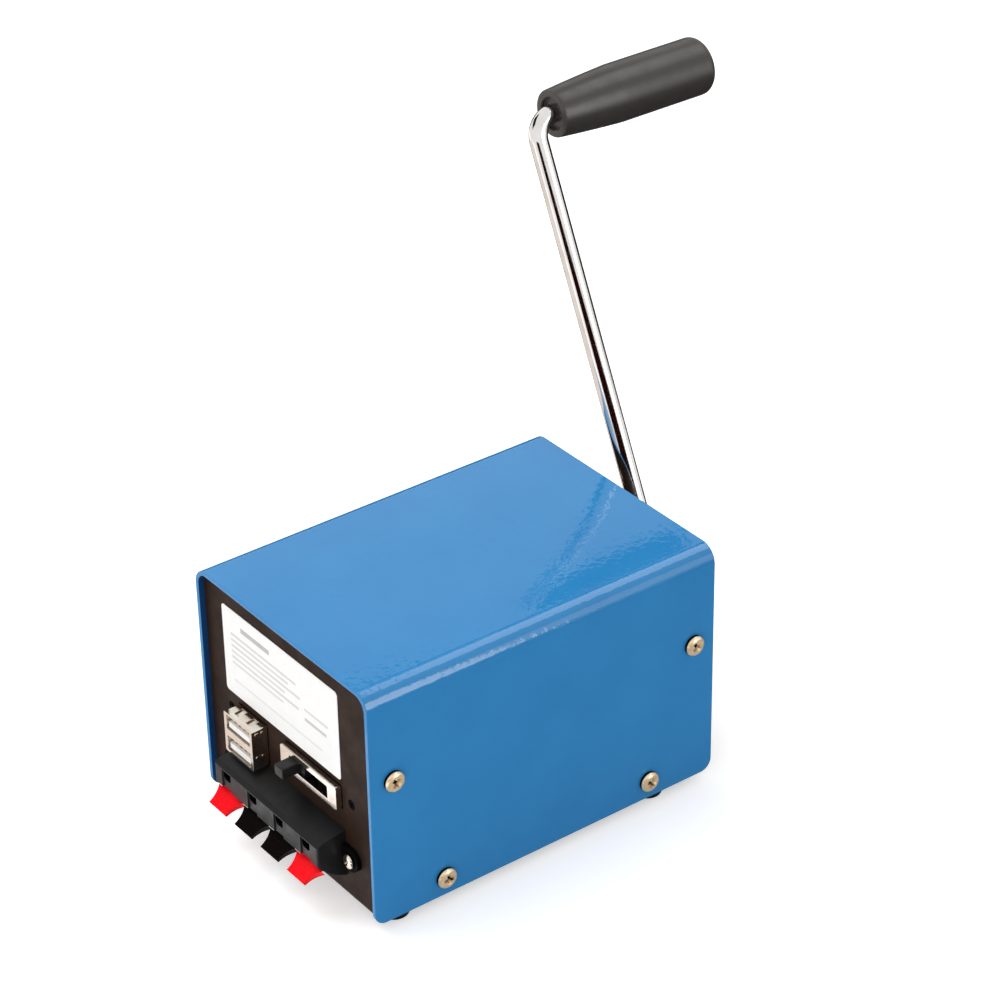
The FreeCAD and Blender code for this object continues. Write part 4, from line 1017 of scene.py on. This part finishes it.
def makeCamera():
    data = bpy.data.cameras.new("camera")
    camera = bpy.data.objects.new("camera", data)
    bpy.context.scene.collection.objects.link(camera)
    camera.location = cameraView["place"]
    camera.rotation_euler = [math.radians(angle) for angle in cameraView["turn"]]
    data.lens = cameraView["lens"]
    data.clip_start = 0.05
    data.clip_end = 20
    bpy.context.scene.camera = camera


light = {"fill": 0.62, "floorPaper": 0.9, "floorLift": 0.44, "floorSize": 6,
         "lamps": ({"place": (-0.5, -0.3, 1.1), "aim": (0, 0, 0.05), "size": (0.9, 0.9), "power": 8.4},
                   {"place": (0.9, -1.0, 0.7), "aim": (0, 0, 0.05), "size": (0.7, 0.7), "power": 4.5})}


def makeWorld():
    world = bpy.data.worlds.new("studio")
    bpy.context.scene.world = world
    world.use_nodes = True
    tree = world.node_tree
    tree.nodes.clear()
    white, soft = [node(tree, "Background", {"Color": (1, 1, 1, 1), "Strength": strength}).outputs[0]
                   for strength in (1, light["fill"])]
    path = node(tree, "LightPath").outputs
    seen = maths(tree, "MAXIMUM", path["Is Camera Ray"], path["Is Glossy Ray"])
    seen = maths(tree, "MAXIMUM", seen, path["Is Transmission Ray"])
    mix = node(tree, "MixShader", {0: seen, 1: soft, 2: white})
    node(tree, "OutputWorld", {0: mix.outputs[0]})


def makeLamps():
    for number, lamp in enumerate(light["lamps"]):
        data = bpy.data.lights.new("lamp" + str(number), "AREA")
        data.shape = "RECTANGLE"
        data.size, data.size_y = lamp["size"]
        data.energy = lamp["power"]
        piece = bpy.data.objects.new("lamp" + str(number), data)
        bpy.context.scene.collection.objects.link(piece)
        piece.location = lamp["place"]
        piece.rotation_mode = "QUATERNION"
        piece.rotation_quaternion = (Vector(lamp["place"]) - Vector(lamp["aim"])).to_track_quat("Z", "Y")
        piece.visible_glossy = False


# cards that only reflections see: bright ones draw the highlights, dark ones give the metal its streaks
# in metres and degrees, the azimuth from +X; the floor cards lie on the floor between low and high
cards = (
    {"azimuth": 90, "rise": 58, "away": 1.5, "size": (0.90, 0.40), "glow": 3.8},
    {"azimuth": 34, "rise": 16, "away": 1.5, "size": (0.50, 0.70), "glow": 2.4},
    {"azimuth": 22.5, "rise": 15, "away": 1.48, "size": (0.34, 0.90), "glow": 6.5},
    {"azimuth": 134, "rise": 46, "away": 1.5, "size": (0.55, 0.18), "glow": 0.0},
    {"azimuth": -150, "rise": 40, "away": 1.5, "size": (1.10, 0.72), "glow": 0.02},
    {"azimuth": -34, "rise": 9, "away": 1.5, "size": (1.95, 0.50), "glow": 0.05, "colour": (150, 70, 50)},
    {"azimuth": 112, "rise": -4, "away": 0.9, "size": (1.30, 0.42), "glow": 0.05, "colour": (150, 90, 70)},
    {"azimuth": 150, "rise": 2, "away": 1.5, "size": (1.70, 0.50), "glow": 0.05, "colour": (150, 90, 70)})
floorCards = ({"low": (0.04, -0.12), "high": (0.60, 0.20), "glow": 0.24},
              {"low": (0.05, 0.20), "high": (0.60, 0.60), "glow": 0.10},
              {"low": (-1.40, 0.09), "high": (0.05, 1.40), "glow": 0.05},
              {"low": (-0.60, -0.60), "high": (-0.04, 0.09), "glow": 0.92, "colour": (255, 245, 238)})


def bareMaterial(piece, name):
    material = bpy.data.materials.new(name)
    material.use_nodes = True
    material.node_tree.nodes.clear()
    piece.data.materials.append(material)
    return material.node_tree


def addCard(card, size, place, turn):
    clearSelection()
    bpy.ops.mesh.primitive_plane_add(size=1)
    piece = bpy.context.object
    piece.scale = (size[0], size[1], 1)
    piece.rotation_mode = "QUATERNION"
    piece.rotation_quaternion = turn
    piece.location = place
    settle(piece)
    tree = bareMaterial(piece, "card")
    colour = tint(*card.get("colour", (255, 255, 255)))
    shine = node(tree, "Emission", {"Strength": card["glow"], "Color": colour})
    node(tree, "OutputMaterial", {0: shine.outputs[0]})
    piece.visible_camera = False
    piece.visible_diffuse = False
    piece.visible_transmission = False
    piece.visible_shadow = False


def makeCards():
    middle = Vector((0, 0, 0.08))
    for card in cards:
        turn, rise = math.radians(card["azimuth"]), math.radians(card["rise"])
        away = Vector((math.cos(turn) * math.cos(rise), math.sin(turn) * math.cos(rise), math.sin(rise)))
        addCard(card, card["size"], middle + away * card["away"], away.to_track_quat("Z", "Y"))
    for card in floorCards:
        low, high = Vector(card["low"]).to_3d(), Vector(card["high"]).to_3d()
        addCard(card, high - low, (low + high) / 2, (1, 0, 0, 0))


def makeFloor():
    clearSelection()
    bpy.ops.mesh.primitive_plane_add(size=light["floorSize"], location=(0, 0, -0.00005))
    floor = settle(bpy.context.object)
    floor.name = "floor"
    tree = bareMaterial(floor, "floorPaper")
    paper = node(tree, "BsdfDiffuse", {"Color": (light["floorPaper"],) * 3 + (1,)})
    path = node(tree, "LightPath").outputs
    seen = maths(tree, "MAXIMUM", path["Is Camera Ray"], path["Is Glossy Ray"])
    glow = node(tree, "Emission", {"Strength": maths(tree, "MULTIPLY", seen, light["floorLift"])})
    both = node(tree, "AddShader", {0: paper.outputs[0], 1: glow.outputs[0]})
    node(tree, "OutputMaterial", {0: both.outputs[0]})


makeCamera()
makeWorld()
makeLamps()
makeFloor()
makeCards()
bpy.context.scene.view_settings.view_transform = "Standard"
print("camera, light and floor made")

clearSelection()
